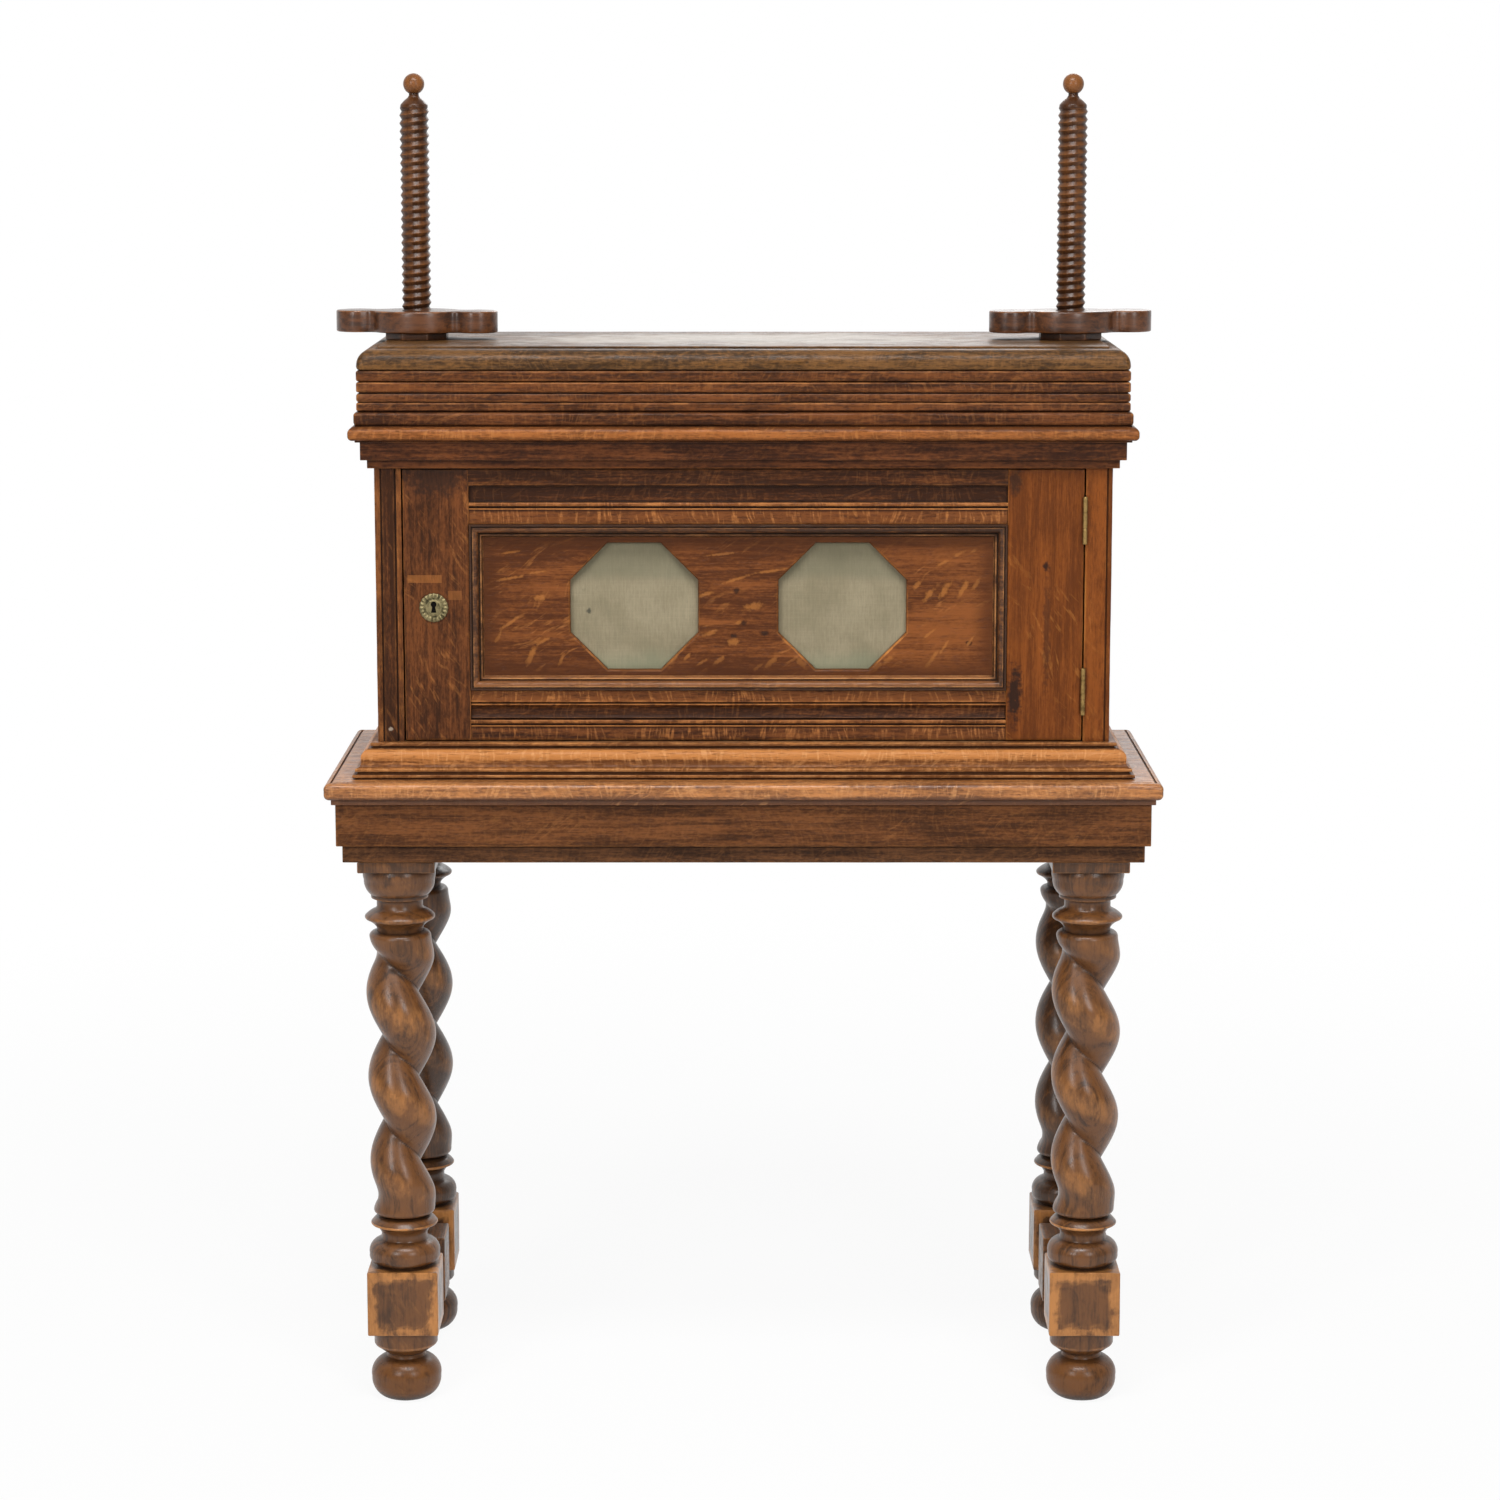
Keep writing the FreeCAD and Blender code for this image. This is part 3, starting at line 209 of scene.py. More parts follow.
def arc(start, via, end, steps):
    """Points on the circle through three points, without the first."""
    a, b, c = (complex(*point) for point in (start, via, end))
    ratio = (c - a) / (b - a)
    centre = a + (b - a) * (ratio - abs(ratio) ** 2) / (2j * ratio.imag)
    passed, sweep = (cmath.phase((point - centre) / (a - centre)) % FULL_TURN for point in (b, c))
    if passed > sweep:
        sweep -= FULL_TURN
    swept = [centre + (a - centre) * cmath.exp(1j * sweep * k / steps) for k in range(1, steps + 1)]
    return [(point.real, point.imag) for point in swept]


def path(*points, steps=8):
    """An open line: a point of four numbers is reached by an arc over its last two."""
    line = [points[0]]
    for point in points[1:]:
        if len(point) == 4:
            line.extend(arc(line[-1], point[2:], point[:2], steps))
        else:
            line.append(point)
    return line


def moved(points, across, up):
    """Points and bends of an outline, measured from another corner."""
    return [tuple(v + (across, up)[i % 2] for i, v in enumerate(point)) for point in points]


def rectangle(low, high):
    return [(low[0], low[1]), (high[0], low[1]), (high[0], high[1]), (low[0], high[1])]


def soften(points, radius, steps=3, closed=True):
    """Rounds each corner by up to a radius, as far as its two sides allow."""
    pts = [np.array(p, dtype=float) for p in points]
    count = len(pts)
    out = []
    for i, corner in enumerate(pts):
        back, ahead = pts[i - 1] - corner, pts[(i + 1) % count] - corner
        back_len, ahead_len = np.linalg.norm(back), np.linalg.norm(ahead)
        cosine = np.clip(np.dot(back, ahead) / (back_len * ahead_len), -1, 1)
        if cosine < -0.94 or not closed and i in (0, count - 1):
            out.append(corner)
            continue
        half = math.acos(cosine) / 2
        reach = min(radius / math.tan(half), 0.45 * back_len, 0.45 * ahead_len)
        start = corner + back / back_len * reach
        end = corner + ahead / ahead_len * reach
        for t in np.arange(steps + 1) / steps:
            out.append((1 - t) ** 2 * start + 2 * t * (1 - t) * corner + t**2 * end)
    return [tuple(p) for p in out]


def divide(points, step, closed=True):
    """Adds points on long sides: close to the corners and then evenly."""
    out = []
    count = len(points)
    for i in range(count if closed else count - 1):
        a, b = np.array(points[i]), np.array(points[(i + 1) % count])
        length = np.linalg.norm(b - a)
        out.append(tuple(a))
        if length > 1.5 * step:
            near = min(2.5, length / 4)
            inner = np.linspace(near, length - near, max(2, int(length / step) + 1))
            out.extend(tuple(a + (b - a) * s / length) for s in inner)
    if not closed:
        out.append(tuple(points[-1]))
    return out


def eased(points, radius, step, steps=3, closed=True):
    return divide(soften(points, radius, steps, closed), step, closed)


def inset(points, amount):
    """The closed outline drawn in by an amount along its normals."""
    p = np.array(points)
    if not amount:
        return p
    ahead = np.roll(p, -1, axis=0) - p
    behind = p - np.roll(p, 1, axis=0)
    ahead /= np.linalg.norm(ahead, axis=1)[:, None]
    behind /= np.linalg.norm(behind, axis=1)[:, None]
    tangent = ahead + behind
    tangent /= np.maximum(np.linalg.norm(tangent, axis=1), 1e-6)[:, None]
    area = 0.5 * np.sum(p[:, 0] * np.roll(p[:, 1], -1) - np.roll(p[:, 0], -1) * p[:, 1])
    inward = np.stack([-tangent[:, 1], tangent[:, 0]], axis=1) * np.sign(area)
    return p + inward * amount


def around(count):
    return np.linspace(0, FULL_TURN, count, endpoint=False)


def at_height(ring, z):
    return np.column_stack([ring, np.full(len(ring), z)])


def round_ring(centre, radius, z, count=48):
    angle = around(count)
    ring = np.column_stack([centre[0] + radius * np.cos(angle), centre[1] + radius * np.sin(angle)])
    return at_height(ring, z)


# Solid forms


def stations(length, round_end, step=9):
    """Distances along a piece, close together at its ends, each with how far its outline is drawn in."""
    near = round_end + 2.5
    ends = [(0, round_end), (0.3 * round_end, 0.3 * round_end), (round_end, 0), (near, 0)]
    middle = np.linspace(near, length - near, max(2, int(length / step)))[1:-1]
    return ends + [(t, 0) for t in middle] + [(length - t, drawn) for t, drawn in reversed(ends)]


def bar(shell, axis, low, high, edge=0.9, round_end=0.7):
    """A squared length of wood with eased edges."""
    low, high = np.array(low), np.array(high)
    run = "xyz".index(axis)
    across = [i for i in range(3) if i != run]
    outline = eased(rectangle(low[across], high[across]), edge, 8)
    rings = []
    for t, drawn in stations(high[run] - low[run], round_end):
        ring = np.zeros((len(outline), 3))
        ring[:, across] = inset(outline, drawn)
        ring[:, run] = low[run] + t
        rings.append(ring)
    shell.rings(rings)


def strip(shell, profile, put, start, end, mitres=(0, 0), step=9):
    """A moulding: put(a, b, t) places a profile point, and each end moves by its mitre times a."""
    rings = []
    for share in np.linspace(0, 1, max(4, int((end - start) / step))):
        ring = []
        for a, b in profile:
            first, last = start + mitres[0] * a, end + mitres[1] * a
            ring.append(put(a, b, first + (last - first) * share))
        rings.append(np.array(ring))
    shell.rings(rings)


def turned(shell, line, centre, count=72, axis="z", rub=0.0):
    """A lathe-turned form from (radius, height) points; ends on the axis close to a point."""
    order = [0, 2, 1] if axis == "y" else [0, 1, 2]
    rings = [
        round_ring((0, 0), max(radius, 0.02), height, count)[:, order] + centre for radius, height in line
    ]
    shell.rings(rings, [rub] * count * len(rings))


def closed_on_axis(line):
    return [(0, line[0][1]), *line, (0, line[-1][1])]


def rod(shell, centre, radius, start, end, edge=0.35, step=4, **lathe):
    line = [(0, start), (radius, start), (radius, end), (0, end)]
    turned(shell, eased(line, edge, step, closed=False), centre, **lathe)


def fill_flat(shell, loops):
    """A flat face inside the first loop, left open inside the others."""
    fill = bmesh.new()
    for loop in loops:
        verts = [fill.verts.new(p) for p in loop]
        for i, vert in enumerate(verts):
            fill.edges.new((vert, verts[(i + 1) % len(verts)]))
    bmesh.ops.triangle_fill(fill, use_beauty=True, use_dissolve=False, edges=fill.edges)
    fill.verts.index_update()
    shell.add([v.co[:] for v in fill.verts], [[v.index for v in face.verts] for face in fill.faces])
    fill.free()


def pierced(shell, rings, holes, radius):
    """A form of level rings with round holes from its first face to its last."""
    shell.rings(rings, caps=False)
    ends = (rings[0], rings[-1])
    walls = [[round_ring(hole, radius, ring[0, 2]) for ring in ends] for hole in holes]
    for index, ring in enumerate(ends):
        fill_flat(shell, [ring] + [wall[index] for wall in walls])
    for wall in walls:
        shell.rings(wall, caps=False)


def slab_ring(half_x, half_y, radius, height, spread):
    """One level of a slab: a rectangle with round corners and the same count of points at every level."""
    corners = []
    for turn, (sx, sy) in enumerate(((1, 1), (-1, 1), (-1, -1), (1, -1))):
        angle = math.pi / 2 * (turn + np.arange(6) / 5)
        x = sx * (half_x - radius) + radius * np.cos(angle)
        corners.append(np.column_stack([x, sy * (half_y - radius) + radius * np.sin(angle)]))
    parts = []
    for turn, corner in enumerate(corners):
        share = np.linspace(0, 1, spread[turn % 2] + 2)[1:-1, None]
        parts += [corner, corner[-1] + (corners[(turn + 1) % 4][0] - corner[-1]) * share]
    return at_height(np.concatenate(parts), height)


def slab(shell, low, high, line, corner, holes, hole_radius=17.0):
    """A board with a moulded edge: line holds (inset, height) from the top face round to the lower face."""
    half = (high[:2] - low[:2]) / 2
    middle = np.append((high[:2] + low[:2]) / 2, 0)
    spread = [int(2 * side / 9) for side in half]
    levels = [(line[0][0] + 8, line[0][1]), *line, (line[-1][0] + 8, line[-1][1])]
    rings = [
        slab_ring(*(half - drawn), max(corner - 0.5 * drawn, 0.4), z, spread) + middle for drawn, z in levels
    ]
    pierced(shell, rings, holes, hole_radius)


# Finishes


class Nodes:
    """Short hands for wiring a node tree."""

    def __init__(self, tree):
        self.tree = tree

    def supply(self, node, feeds):
        """Sets or links a node's inputs; a plain colour gets its alpha."""
        for name, value in feeds.items():
            socket = node.inputs[name]
            if isinstance(value, bpy.types.NodeSocket):
                self.tree.links.new(value, socket)
            elif socket.type == "RGBA":
                socket.default_value = (*value, 1.0)
            else:
                socket.default_value = value

    def add(self, kind, feeds=None, **values):
        made = self.tree.nodes.new("ShaderNode" + kind)
        for name, value in values.items():
            setattr(made, name, value)
        self.supply(made, feeds or {})
        return made

    def math(self, operation, a, b, clamp=False):
        return self.add("Math", {0: a, 1: b}, operation=operation, use_clamp=clamp).outputs[0]

    def times(self, a, b, clamp=False):
        return self.math("MULTIPLY", a, b, clamp)

    def less(self, a, b, clamp=False):
        return self.math("SUBTRACT", a, b, clamp)

    def most(self, a, b, clamp=False):
        return self.math("MAXIMUM", a, b, clamp)

    def total(self, *terms):
        """A sum; a pair is a value and its weight."""
        terms = [self.times(*term) if isinstance(term, tuple) else term for term in terms]
        result = terms[0]
        for term in terms[1:]:
            result = self.math("ADD", result, term)
        return result

    def ramp(self, value, low, high, to_low=0.0, to_high=1.0):
        feeds = dict(enumerate((value, low, high, to_low, to_high)))
        return self.add("MapRange", feeds, interpolation_type="SMOOTHSTEP").outputs[0]

    def mix(self, amount, a, b):
        return self.add("Mix", {0: amount, 6: a, 7: b}, data_type="RGBA").outputs[2]

    def scaled(self, vector, scale=(1, 1, 1), turn=(0, 0, 0), shift=(0, 0, 0)):
        feeds = {"Vector": vector, "Location": shift, "Rotation": turn, "Scale": scale}
        return self.add("Mapping", feeds).outputs[0]

    def noise(self, vector, scale, detail=3.0, rough=0.55, warp=0.0, shift=(0, 0, 0), output="Fac"):
        scale = scale if isinstance(scale, tuple) else (scale,) * 3
        feeds = {"Vector": self.scaled(vector, scale, shift=shift), "Scale": 1.0}
        feeds.update({"Detail": detail, "Roughness": rough, "Distortion": warp})
        return self.add("TexNoise", feeds).outputs[output]

    def vector(self, operation, a, b=(0, 0, 0)):
        return self.add("VectorMath", {0: a, 1: b}, operation=operation).outputs["Vector"]

    def length(self, vector):
        return self.add("VectorMath", {0: vector}, operation="LENGTH").outputs["Value"]

    def split(self, vector):
        return self.add("SeparateXYZ", {0: vector}).outputs

    def place(self, output="Object"):
        return self.add("TexCoord").outputs[output]

    def mark(self, name):
        return self.add("Attribute", attribute_name=name).outputs["Fac"]

    def openness(self, distance):
        return self.add("AmbientOcclusion", {"Distance": distance}, samples=6).outputs["AO"]

    def bump(self, height, strength, distance):
        feeds = {"Strength": strength, "Distance": distance, "Height": height}
        return self.add("Bump", feeds).outputs["Normal"]


# Oak of no special figure
PLAIN_FIGURE = {
    "fleck": 0.5, "tick": 0.0, "rings": 0.0, "wear": 0.8, "shift": 0.0, "mottle": 0.4, "pores": 0.5,
}
# Slope of the ray flecks against the grain
RAY_TURN = (0, math.radians(35), 0)
DIRT_AND_SHADE_BLACK = (0.006, 0.003, 0.002)
# How far from a corner wood keeps its dirt and painted shade, and metal its tarnish, in metres
WOOD_CREVICE, METAL_CREVICE = 0.016, 0.004


def make_oak_group():
    """Oak with its grain along X: stain, growth rings, pores, ray flecks, worn edges, and dirt and painted
    shade in corners and hollows.
    """
    tree = bpy.data.node_groups.new("oak_figure", "ShaderNodeTree")
    for direction, kind, names in (
        ("INPUT", "Vector", ("place",)), ("INPUT", "Color", ("dark", "stain", "bare")),
        ("INPUT", "Float", PLAIN_FIGURE),
        ("OUTPUT", "Color", ("colour",)), ("OUTPUT", "Float", ("rough", "height")),
    ):
        for name in names:
            tree.interface.new_socket(name=name, in_out=direction, socket_type="NodeSocket" + kind)
    n = Nodes(tree)
    given = tree.nodes.new("NodeGroupInput").outputs
    place, dark, stain, bare = (given[name] for name in ("place", "dark", "stain", "bare"))
    shade, wear = n.mark("shade"), n.mark("wear")

    drift = n.vector("SUBTRACT", n.noise(place, (13, 19, 19), detail=1, output="Color"), (0.5, 0.5, 0.5))
    swept = n.vector("ADD", place, n.vector("MULTIPLY", drift, (0.035, 0.035, 0.035)))

    blotch = n.noise(place, (6, 14, 14), detail=4)
    streak = n.noise(place, (8, 170, 170), detail=5, rough=0.62, warp=0.3)
    fibre = n.noise(place, (45, 800, 800), rough=0.6)
    ring = n.noise(swept, (5, 300, 12), detail=2, rough=0.5)
    mottle = n.noise(place, (150, 380, 380), detail=4, rough=0.65, shift=(5, 2, 9))
    pores = n.ramp(n.noise(place, (75, 640, 640), rough=0.6), 0.56, 0.70)
    cloud = n.noise(place, (17, 48, 48), detail=4, rough=0.6, shift=(2, 8, 4))
    patch = n.noise(place, (34, 60, 60), detail=6, rough=0.68, shift=(1, 5, 2))

    clusters = n.ramp(n.noise(place, (11, 17, 17), detail=2, shift=(3, 1, 2)), 0.44, 0.60)
    ray = n.noise(n.scaled(swept, turn=RAY_TURN), (30, 50, 190), rough=0.6)
    flecks = n.times(n.ramp(ray, 0.55, 0.67), n.times(clusters, given["fleck"]))
    tick = n.noise(swept, (310, 60, 45), detail=2, rough=0.5)
    bands = n.ramp(n.noise(place, (13, 30, 30), detail=2, shift=(7, 3, 1)), 0.28, 0.52)
    bands = n.times(bands, n.ramp(shade, -0.12, 0.03, 0.15, 1.0))
    ticks = n.times(n.ramp(tick, 0.51, 0.66), n.times(bands, given["tick"]))
    flecks = n.most(flecks, ticks, clamp=True)

    tone = n.total(
        (streak, 0.55), (blotch, 0.3), (cloud, 0.25), (n.less(mottle, 0.5), given["mottle"]), (fibre, 0.25),
        shade, (n.less(ring, 0.5), given["rings"]), given["shift"],
    )
    colour = n.mix(n.ramp(tone, 0.53, 0.82), dark, stain)
    silk = n.mix(n.ramp(mottle, 0.35, 0.65, 0.25, 0.8), stain, bare)
    colour = n.mix(flecks, colour, silk)
    colour = n.mix(n.times(pores, given["pores"]), colour, dark)

    worn = n.times(n.ramp(n.total(patch, (wear, 0.4)), 0.70, 0.93), n.ramp(wear, 0.05, 0.4))
    arris = n.times(n.ramp(wear, 0.12, 0.5), n.ramp(patch, 0.4, 0.62, 0.05, 0.5))
    worn = n.times(n.most(worn, arris), given["wear"], clamp=True)
    bared = n.mix(n.ramp(tone, 0.5, 0.85), n.mix(0.5, bare, stain), bare)
    colour = n.mix(worn, colour, bared)

    # Corners found by ambient occlusion, and marked hollows, are darkened towards near black: dirt and
    # painted shade
    crevice = n.ramp(n.openness(WOOD_CREVICE), 0.15, 0.85, 0.9, 0.0)
    grime = n.most(crevice, n.times(n.mark("hollow"), 0.92))
    colour = n.mix(grime, colour, n.mix(0.35, DIRT_AND_SHADE_BLACK, dark))

    rough = n.total(n.ramp(patch, 0.3, 0.7, 0.28, 0.46), (pores, 0.15), (grime, 0.25))
    height = n.total((streak, 0.5), (pores, -0.9), (fibre, 0.35), (mottle, given["mottle"]))
    n.supply(tree.nodes.new("NodeGroupOutput"), {"colour": colour, "rough": rough, "height": height})
    return tree


OAK = make_oak_group()
# Turn that brings the grain's own X axis onto each direction of the part
GRAIN_TURN = {"x": (0, 0, 0), "y": (0, 0, -math.pi / 2), "z": (0, math.pi / 2, 0)}

# Stains seen on the press, as (dark, stain, bare) colours
STAINS = {
    "apron": ((0.046, 0.0159, 0.00495), (0.173, 0.0608, 0.018), (0.36, 0.145, 0.0405)),
    "bead": ((0.034, 0.013, 0.00495), (0.132, 0.0521, 0.0189), (0.32, 0.13, 0.0405)),
    "board": ((0.034, 0.0111, 0.00405), (0.16, 0.0511, 0.0144), (0.46, 0.183, 0.0495)),
    "top": ((0.038, 0.0174, 0.0054), (0.16, 0.0714, 0.0207), (0.36, 0.159, 0.045)),
    "frieze": ((0.034, 0.0101, 0.0036), (0.163, 0.0502, 0.0144), (0.34, 0.13, 0.036)),
    "nosing": ((0.135, 0.0434, 0.0103), (0.49, 0.19, 0.052), (0.68, 0.34, 0.13)),
    "cornice": ((0.105, 0.0328, 0.0081), (0.33, 0.11, 0.027), (0.54, 0.232, 0.0648)),
    "panel": ((0.07, 0.0203, 0.0054), (0.23, 0.0724, 0.018), (0.5, 0.198, 0.0495)),
    "moulding": ((0.04, 0.014, 0.0045), (0.2, 0.0724, 0.0207), (0.5, 0.222, 0.072)),
    "lock": ((0.036, 0.0116, 0.0036), (0.154, 0.0483, 0.0135), (0.46, 0.174, 0.045)),
    "rail": ((0.035, 0.0111, 0.0036), (0.175, 0.056, 0.0153), (0.46, 0.179, 0.0495)),
    "hinge": ((0.105, 0.027, 0.0041), (0.225, 0.0612, 0.0099), (0.42, 0.164, 0.0342)),
    "leg": ((0.05, 0.0193, 0.0054), (0.158, 0.0598, 0.0158), (0.50, 0.208, 0.0558)),
    "screw": ((0.042, 0.0138, 0.0036), (0.125, 0.0463, 0.0135), (0.27, 0.097, 0.0252)),
    "nut": ((0.03, 0.0094, 0.0027), (0.13, 0.043, 0.0117), (0.36, 0.13, 0.036)),
    "inside": ((0.14, 0.0675, 0.0315), (0.32, 0.174, 0.081), (0.45, 0.27, 0.126)),
}


def add_marks(n, colour, marks):
    """Single features: centre, half sizes, colour, strength, let in square or not, and a turn in degrees."""
    here = n.place()
    for centre, half, tone, strength, square, *turn in marks:
        away = n.vector("SUBTRACT", here, tuple(v * MM for v in centre))
        if turn:
            away = n.scaled(away, turn=(0, math.radians(turn[0]), 0))
        away = n.vector("MULTIPLY", away, tuple(1 / (v * MM) for v in half))
        if square:
            x, y, z = n.split(n.vector("ABSOLUTE", away))
            cover = n.ramp(n.most(n.most(x, y), z), 0.93, 1.0, strength, 0.0)
        else:
            ragged = n.less(n.noise(here, 220 if max(half) < 100 else 14), 0.5)
            cover = n.ramp(n.total(n.length(away), (ragged, 1.6)), 0.35, 1.0, strength, 0.0)
        colour = n.mix(cover, colour, tone)
    return colour


def rim_painted_shade(n, low, high, width):
    """Painted shade along the border of a framed field, in the recess under its moulding, in x and z."""
    x, _, z = n.split(n.place())
    nearest = n.less(x, low[0] * MM)
    for gap in (n.less(high[0] * MM, x), n.less(z, low[2] * MM), n.less(high[2] * MM, z)):
        nearest = n.math("MINIMUM", nearest, gap)
    return n.ramp(nearest, 0.1 * width * MM, width * MM, 0.75, 0.0)


def start_material(name):
    material = bpy.data.materials.new(name)
    material.use_nodes = True
    return material, Nodes(material.node_tree), material.node_tree.nodes["Principled BSDF"]


def oak(name, stain, grain, seed, marks=(), rim=None, gloss=0.14, coat=0.0, relief=0.55, **figure):
    material, n, shader = start_material("oak_" + name)
    draw = np.random.default_rng(SEED + 31 * seed)
    place = n.scaled(n.place(), turn=GRAIN_TURN[grain], shift=tuple(draw.uniform(-4, 4, size=3)))
    colours = dict(zip(("dark", "stain", "bare"), STAINS[stain]))
    wood = n.add("Group", {"place": place, **colours, **PLAIN_FIGURE, **figure}, node_tree=OAK).outputs
    colour = add_marks(n, wood["colour"], marks)
    # A framed field is darkened along its border with painted shade
    if rim:
        colour = n.mix(rim_painted_shade(n, *rim), colour, colours["dark"])
    n.supply(shader, {
        "Base Color": colour, "Roughness": wood["rough"], "Normal": n.bump(wood["height"], relief, 0.0007),
        "Specular IOR Level": gloss, "Coat Weight": coat, "Coat Roughness": 0.26,
    })
    return material


def metal(name, bright, dull, roughness):
    """Old metal: bright where it is rubbed, dull and rough elsewhere."""
    material, n, shader = start_material(name)
    place = n.place()
    cloud = n.ramp(n.noise(place, 160, detail=5, rough=0.65), 0.35, 0.7)
    tarnish = n.math("ADD", cloud, n.ramp(n.openness(METAL_CREVICE), 0.3, 0.9, 0.7, 0.0), clamp=True)
    tarnish = n.less(tarnish, n.times(n.mark("wear"), 0.6), clamp=True)
    n.supply(shader, {
        "Base Color": n.mix(tarnish, bright, dull), "Metallic": 1.0,
        "Roughness": n.ramp(tarnish, 0.0, 1.0, roughness, roughness + 0.3),
        "Normal": n.bump(n.noise(place, 1500, detail=2), 0.15, 0.0003),
    })
    return material


def linen():
    """Plain weave, greenish with age, darker along the top with a painted shadow, and stained in a few spots.
    """
    material, n, shader = start_material("linen_cloth")
    place = n.place()
    threads = []
    for direction, slub in (("X", (900, 1, 25)), ("Z", (25, 1, 900))):
        wave = n.add(
            "TexWave", {"Vector": place, "Scale": 230.0, "Distortion": 1.2, "Detail": 1.0},
            wave_type="BANDS", bands_direction=direction, wave_profile="SIN",
        )
        threads.append(n.times(wave.outputs["Fac"], n.ramp(n.noise(place, slub), 0.2, 0.8, 0.5, 1.2)))
    weave = n.most(*threads)
    cloud = n.noise(place, 22, detail=5, rough=0.6)
    slubs = n.noise(place, (620, 620, 90), rough=0.65)
    spots = n.noise(place, 55, detail=4, shift=(2, 0, 7))
    height = n.total(n.split(place)["Z"], (n.less(cloud, 0.5), 0.02))
    colour = n.mix(n.ramp(cloud, 0.3, 0.7), (0.240, 0.200, 0.118), (0.325, 0.272, 0.170))
    for amount, tone in (
        (n.ramp(weave, 0.2, 0.9, 0.35, 0.0), (0.13, 0.11, 0.065)),
        (n.ramp(slubs, 0.35, 0.7, 0.0, 0.28), (0.15, 0.128, 0.076)),
        # Darker above a soft line near the top: painted shadow of the window's upper edge
        (n.ramp(height, 0.886, 0.902, 0.0, 0.5), (0.13, 0.125, 0.075)),
        (n.ramp(height, 0.800, 0.822, 0.4, 0.0), (0.20, 0.24, 0.15)),
        (n.ramp(spots, 0.66, 0.76, 0.0, 0.35), (0.10, 0.09, 0.05)),
    ):
        colour = n.mix(amount, colour, tone)
    burn = ((-163.3, -110.2, 858.7), (3.4, 4.0, 3.8), (0.03, 0.03, 0.02), 0.85, False)
    n.supply(shader, {
        "Base Color": add_marks(n, colour, [burn]), "Roughness": 0.85, "Sheen Weight": 0.15,
        "Normal": n.bump(weave, 0.5, 0.0004),
    })
    return material


BRASS = metal("brass_old", (0.34, 0.22, 0.08), (0.10, 0.065, 0.025), 0.40)
BRASS_GREEN = metal("brass_green", (0.26, 0.214, 0.108), (0.062, 0.056, 0.03), 0.5)
IRON = metal("iron_old", (0.15, 0.14, 0.13), (0.06, 0.05, 0.043), 0.42)
KEYHOLE_SHADE = metal("keyhole_shade_black", (0.010, 0.009, 0.008), (0.004, 0.004, 0.004), 0.6)
LINEN = linen()


# Wooden pieces


# What a piece's mesh is given; the rest of its values belong to the oak
MESH_VALUES = ("wobble", "chip", "tint", "grime")


def oak_piece(node, shell, stain, grain, seed, name=None, **values):
    mesh_values = {key: values.pop(key) for key in MESH_VALUES if key in values}
    material = oak(node, stain, grain, seed, **values)
    finish_piece(name or node + "_oak", shell, material, node, seed=seed, **mesh_values)


def oak_bar(node, stain, grain, seed, edge=0.9, round_end=0.7, **finish):
    shell = Shell()
    bar(shell, grain, *box_mm(node), edge, round_end)
    oak_piece(node, shell, stain, grain, seed, **finish)


def oak_board(node, stain, seed, upper, lower, steps=5, corner=2.5, holes=(), **finish):
    """A board whose edge is given as (inset, height), from its top face and then from its lower face."""
    low, high = box_mm(node)
    line = path(*moved(upper, 0, high[2]), *moved(lower, 0, low[2]), steps=steps)
    shell = Shell()
    slab(shell, low, high, line, corner, holes)
    oak_piece(node, shell, stain, "x", seed, **finish)


def by_height(base, *stops):
    """Shades by height above a base."""
    heights, shades = zip(*sorted(stops))
    return lambda place: np.interp(place[:, 2] - base, heights, shades)


# Stand


def build_stand_top():
    oak_board(
        "stand_top", "nosing", 1, name="stand_top_board", steps=8, corner=3.5,
        upper=((9.0, 0), (8.6, -2.0), (6.8, -2.2), (6.2, -0.3), (0, -8.5, 1.5, -2.6)),
        lower=((0, 11.5), (5.8, 5.5, 1.7, 7.2), (7, 5.5), (7, 0.4), (7.4, 0)),
        # Darker on the step under the nosing: painted shade
        tint=by_height(box_mm("stand_top")[0][2], (5.5, -0.3), (7.5, -0.1), (11.5, 0.03), (24.0, 0.0)),
        tick=0.5, gloss=0.4, coat=0.15,
    )


def build_aprons():
    seed = 10
    for kind, stain, edge in (("apron_rail", "apron", 1.2), ("apron_bead", "bead", 1.6)):
        for end in (*ENDS, *SIDES):
            grain = "x" if end in ENDS else "y"
            oak_bar(f"{kind}_{end}", stain, grain, seed, edge, round_end=0.9, fleck=0.3, tick=0.15, wear=0.6)
            seed += 1


# Leg sizes, from the floor up
BLOCK_HALF, ABACUS_HALF, POST_HALF = 38.0, 41.0, 27.0
BLOCK_FOOT, BLOCK_HEAD = 77.0, 148.0
TWIST_FOOT, TWIST_HEAD = 204.0, 517.0
ABACUS_FOOT, POST_FOOT, POST_HEAD = 586.0, 598.0, 661.5
TWIST_PITCH = 93.0
TWIST_START = 235.0
TWIST_WAIST = 17.5
TWIST_BULGE_FOOT, TWIST_BULGE_HEAD = 35.2, 37.6
TWIST_NECK, TWIST_LIP, LIP_HEIGHT = 24.5, 33.0, 6.0
TWIST_FADE = (2.0, 40.0)
# Distances from a block's edge between which its bare border ends, and how ragged that end is
BLOCK_BORDER = (7.5, 14.5)
BLOCK_RAGGED = 4.5

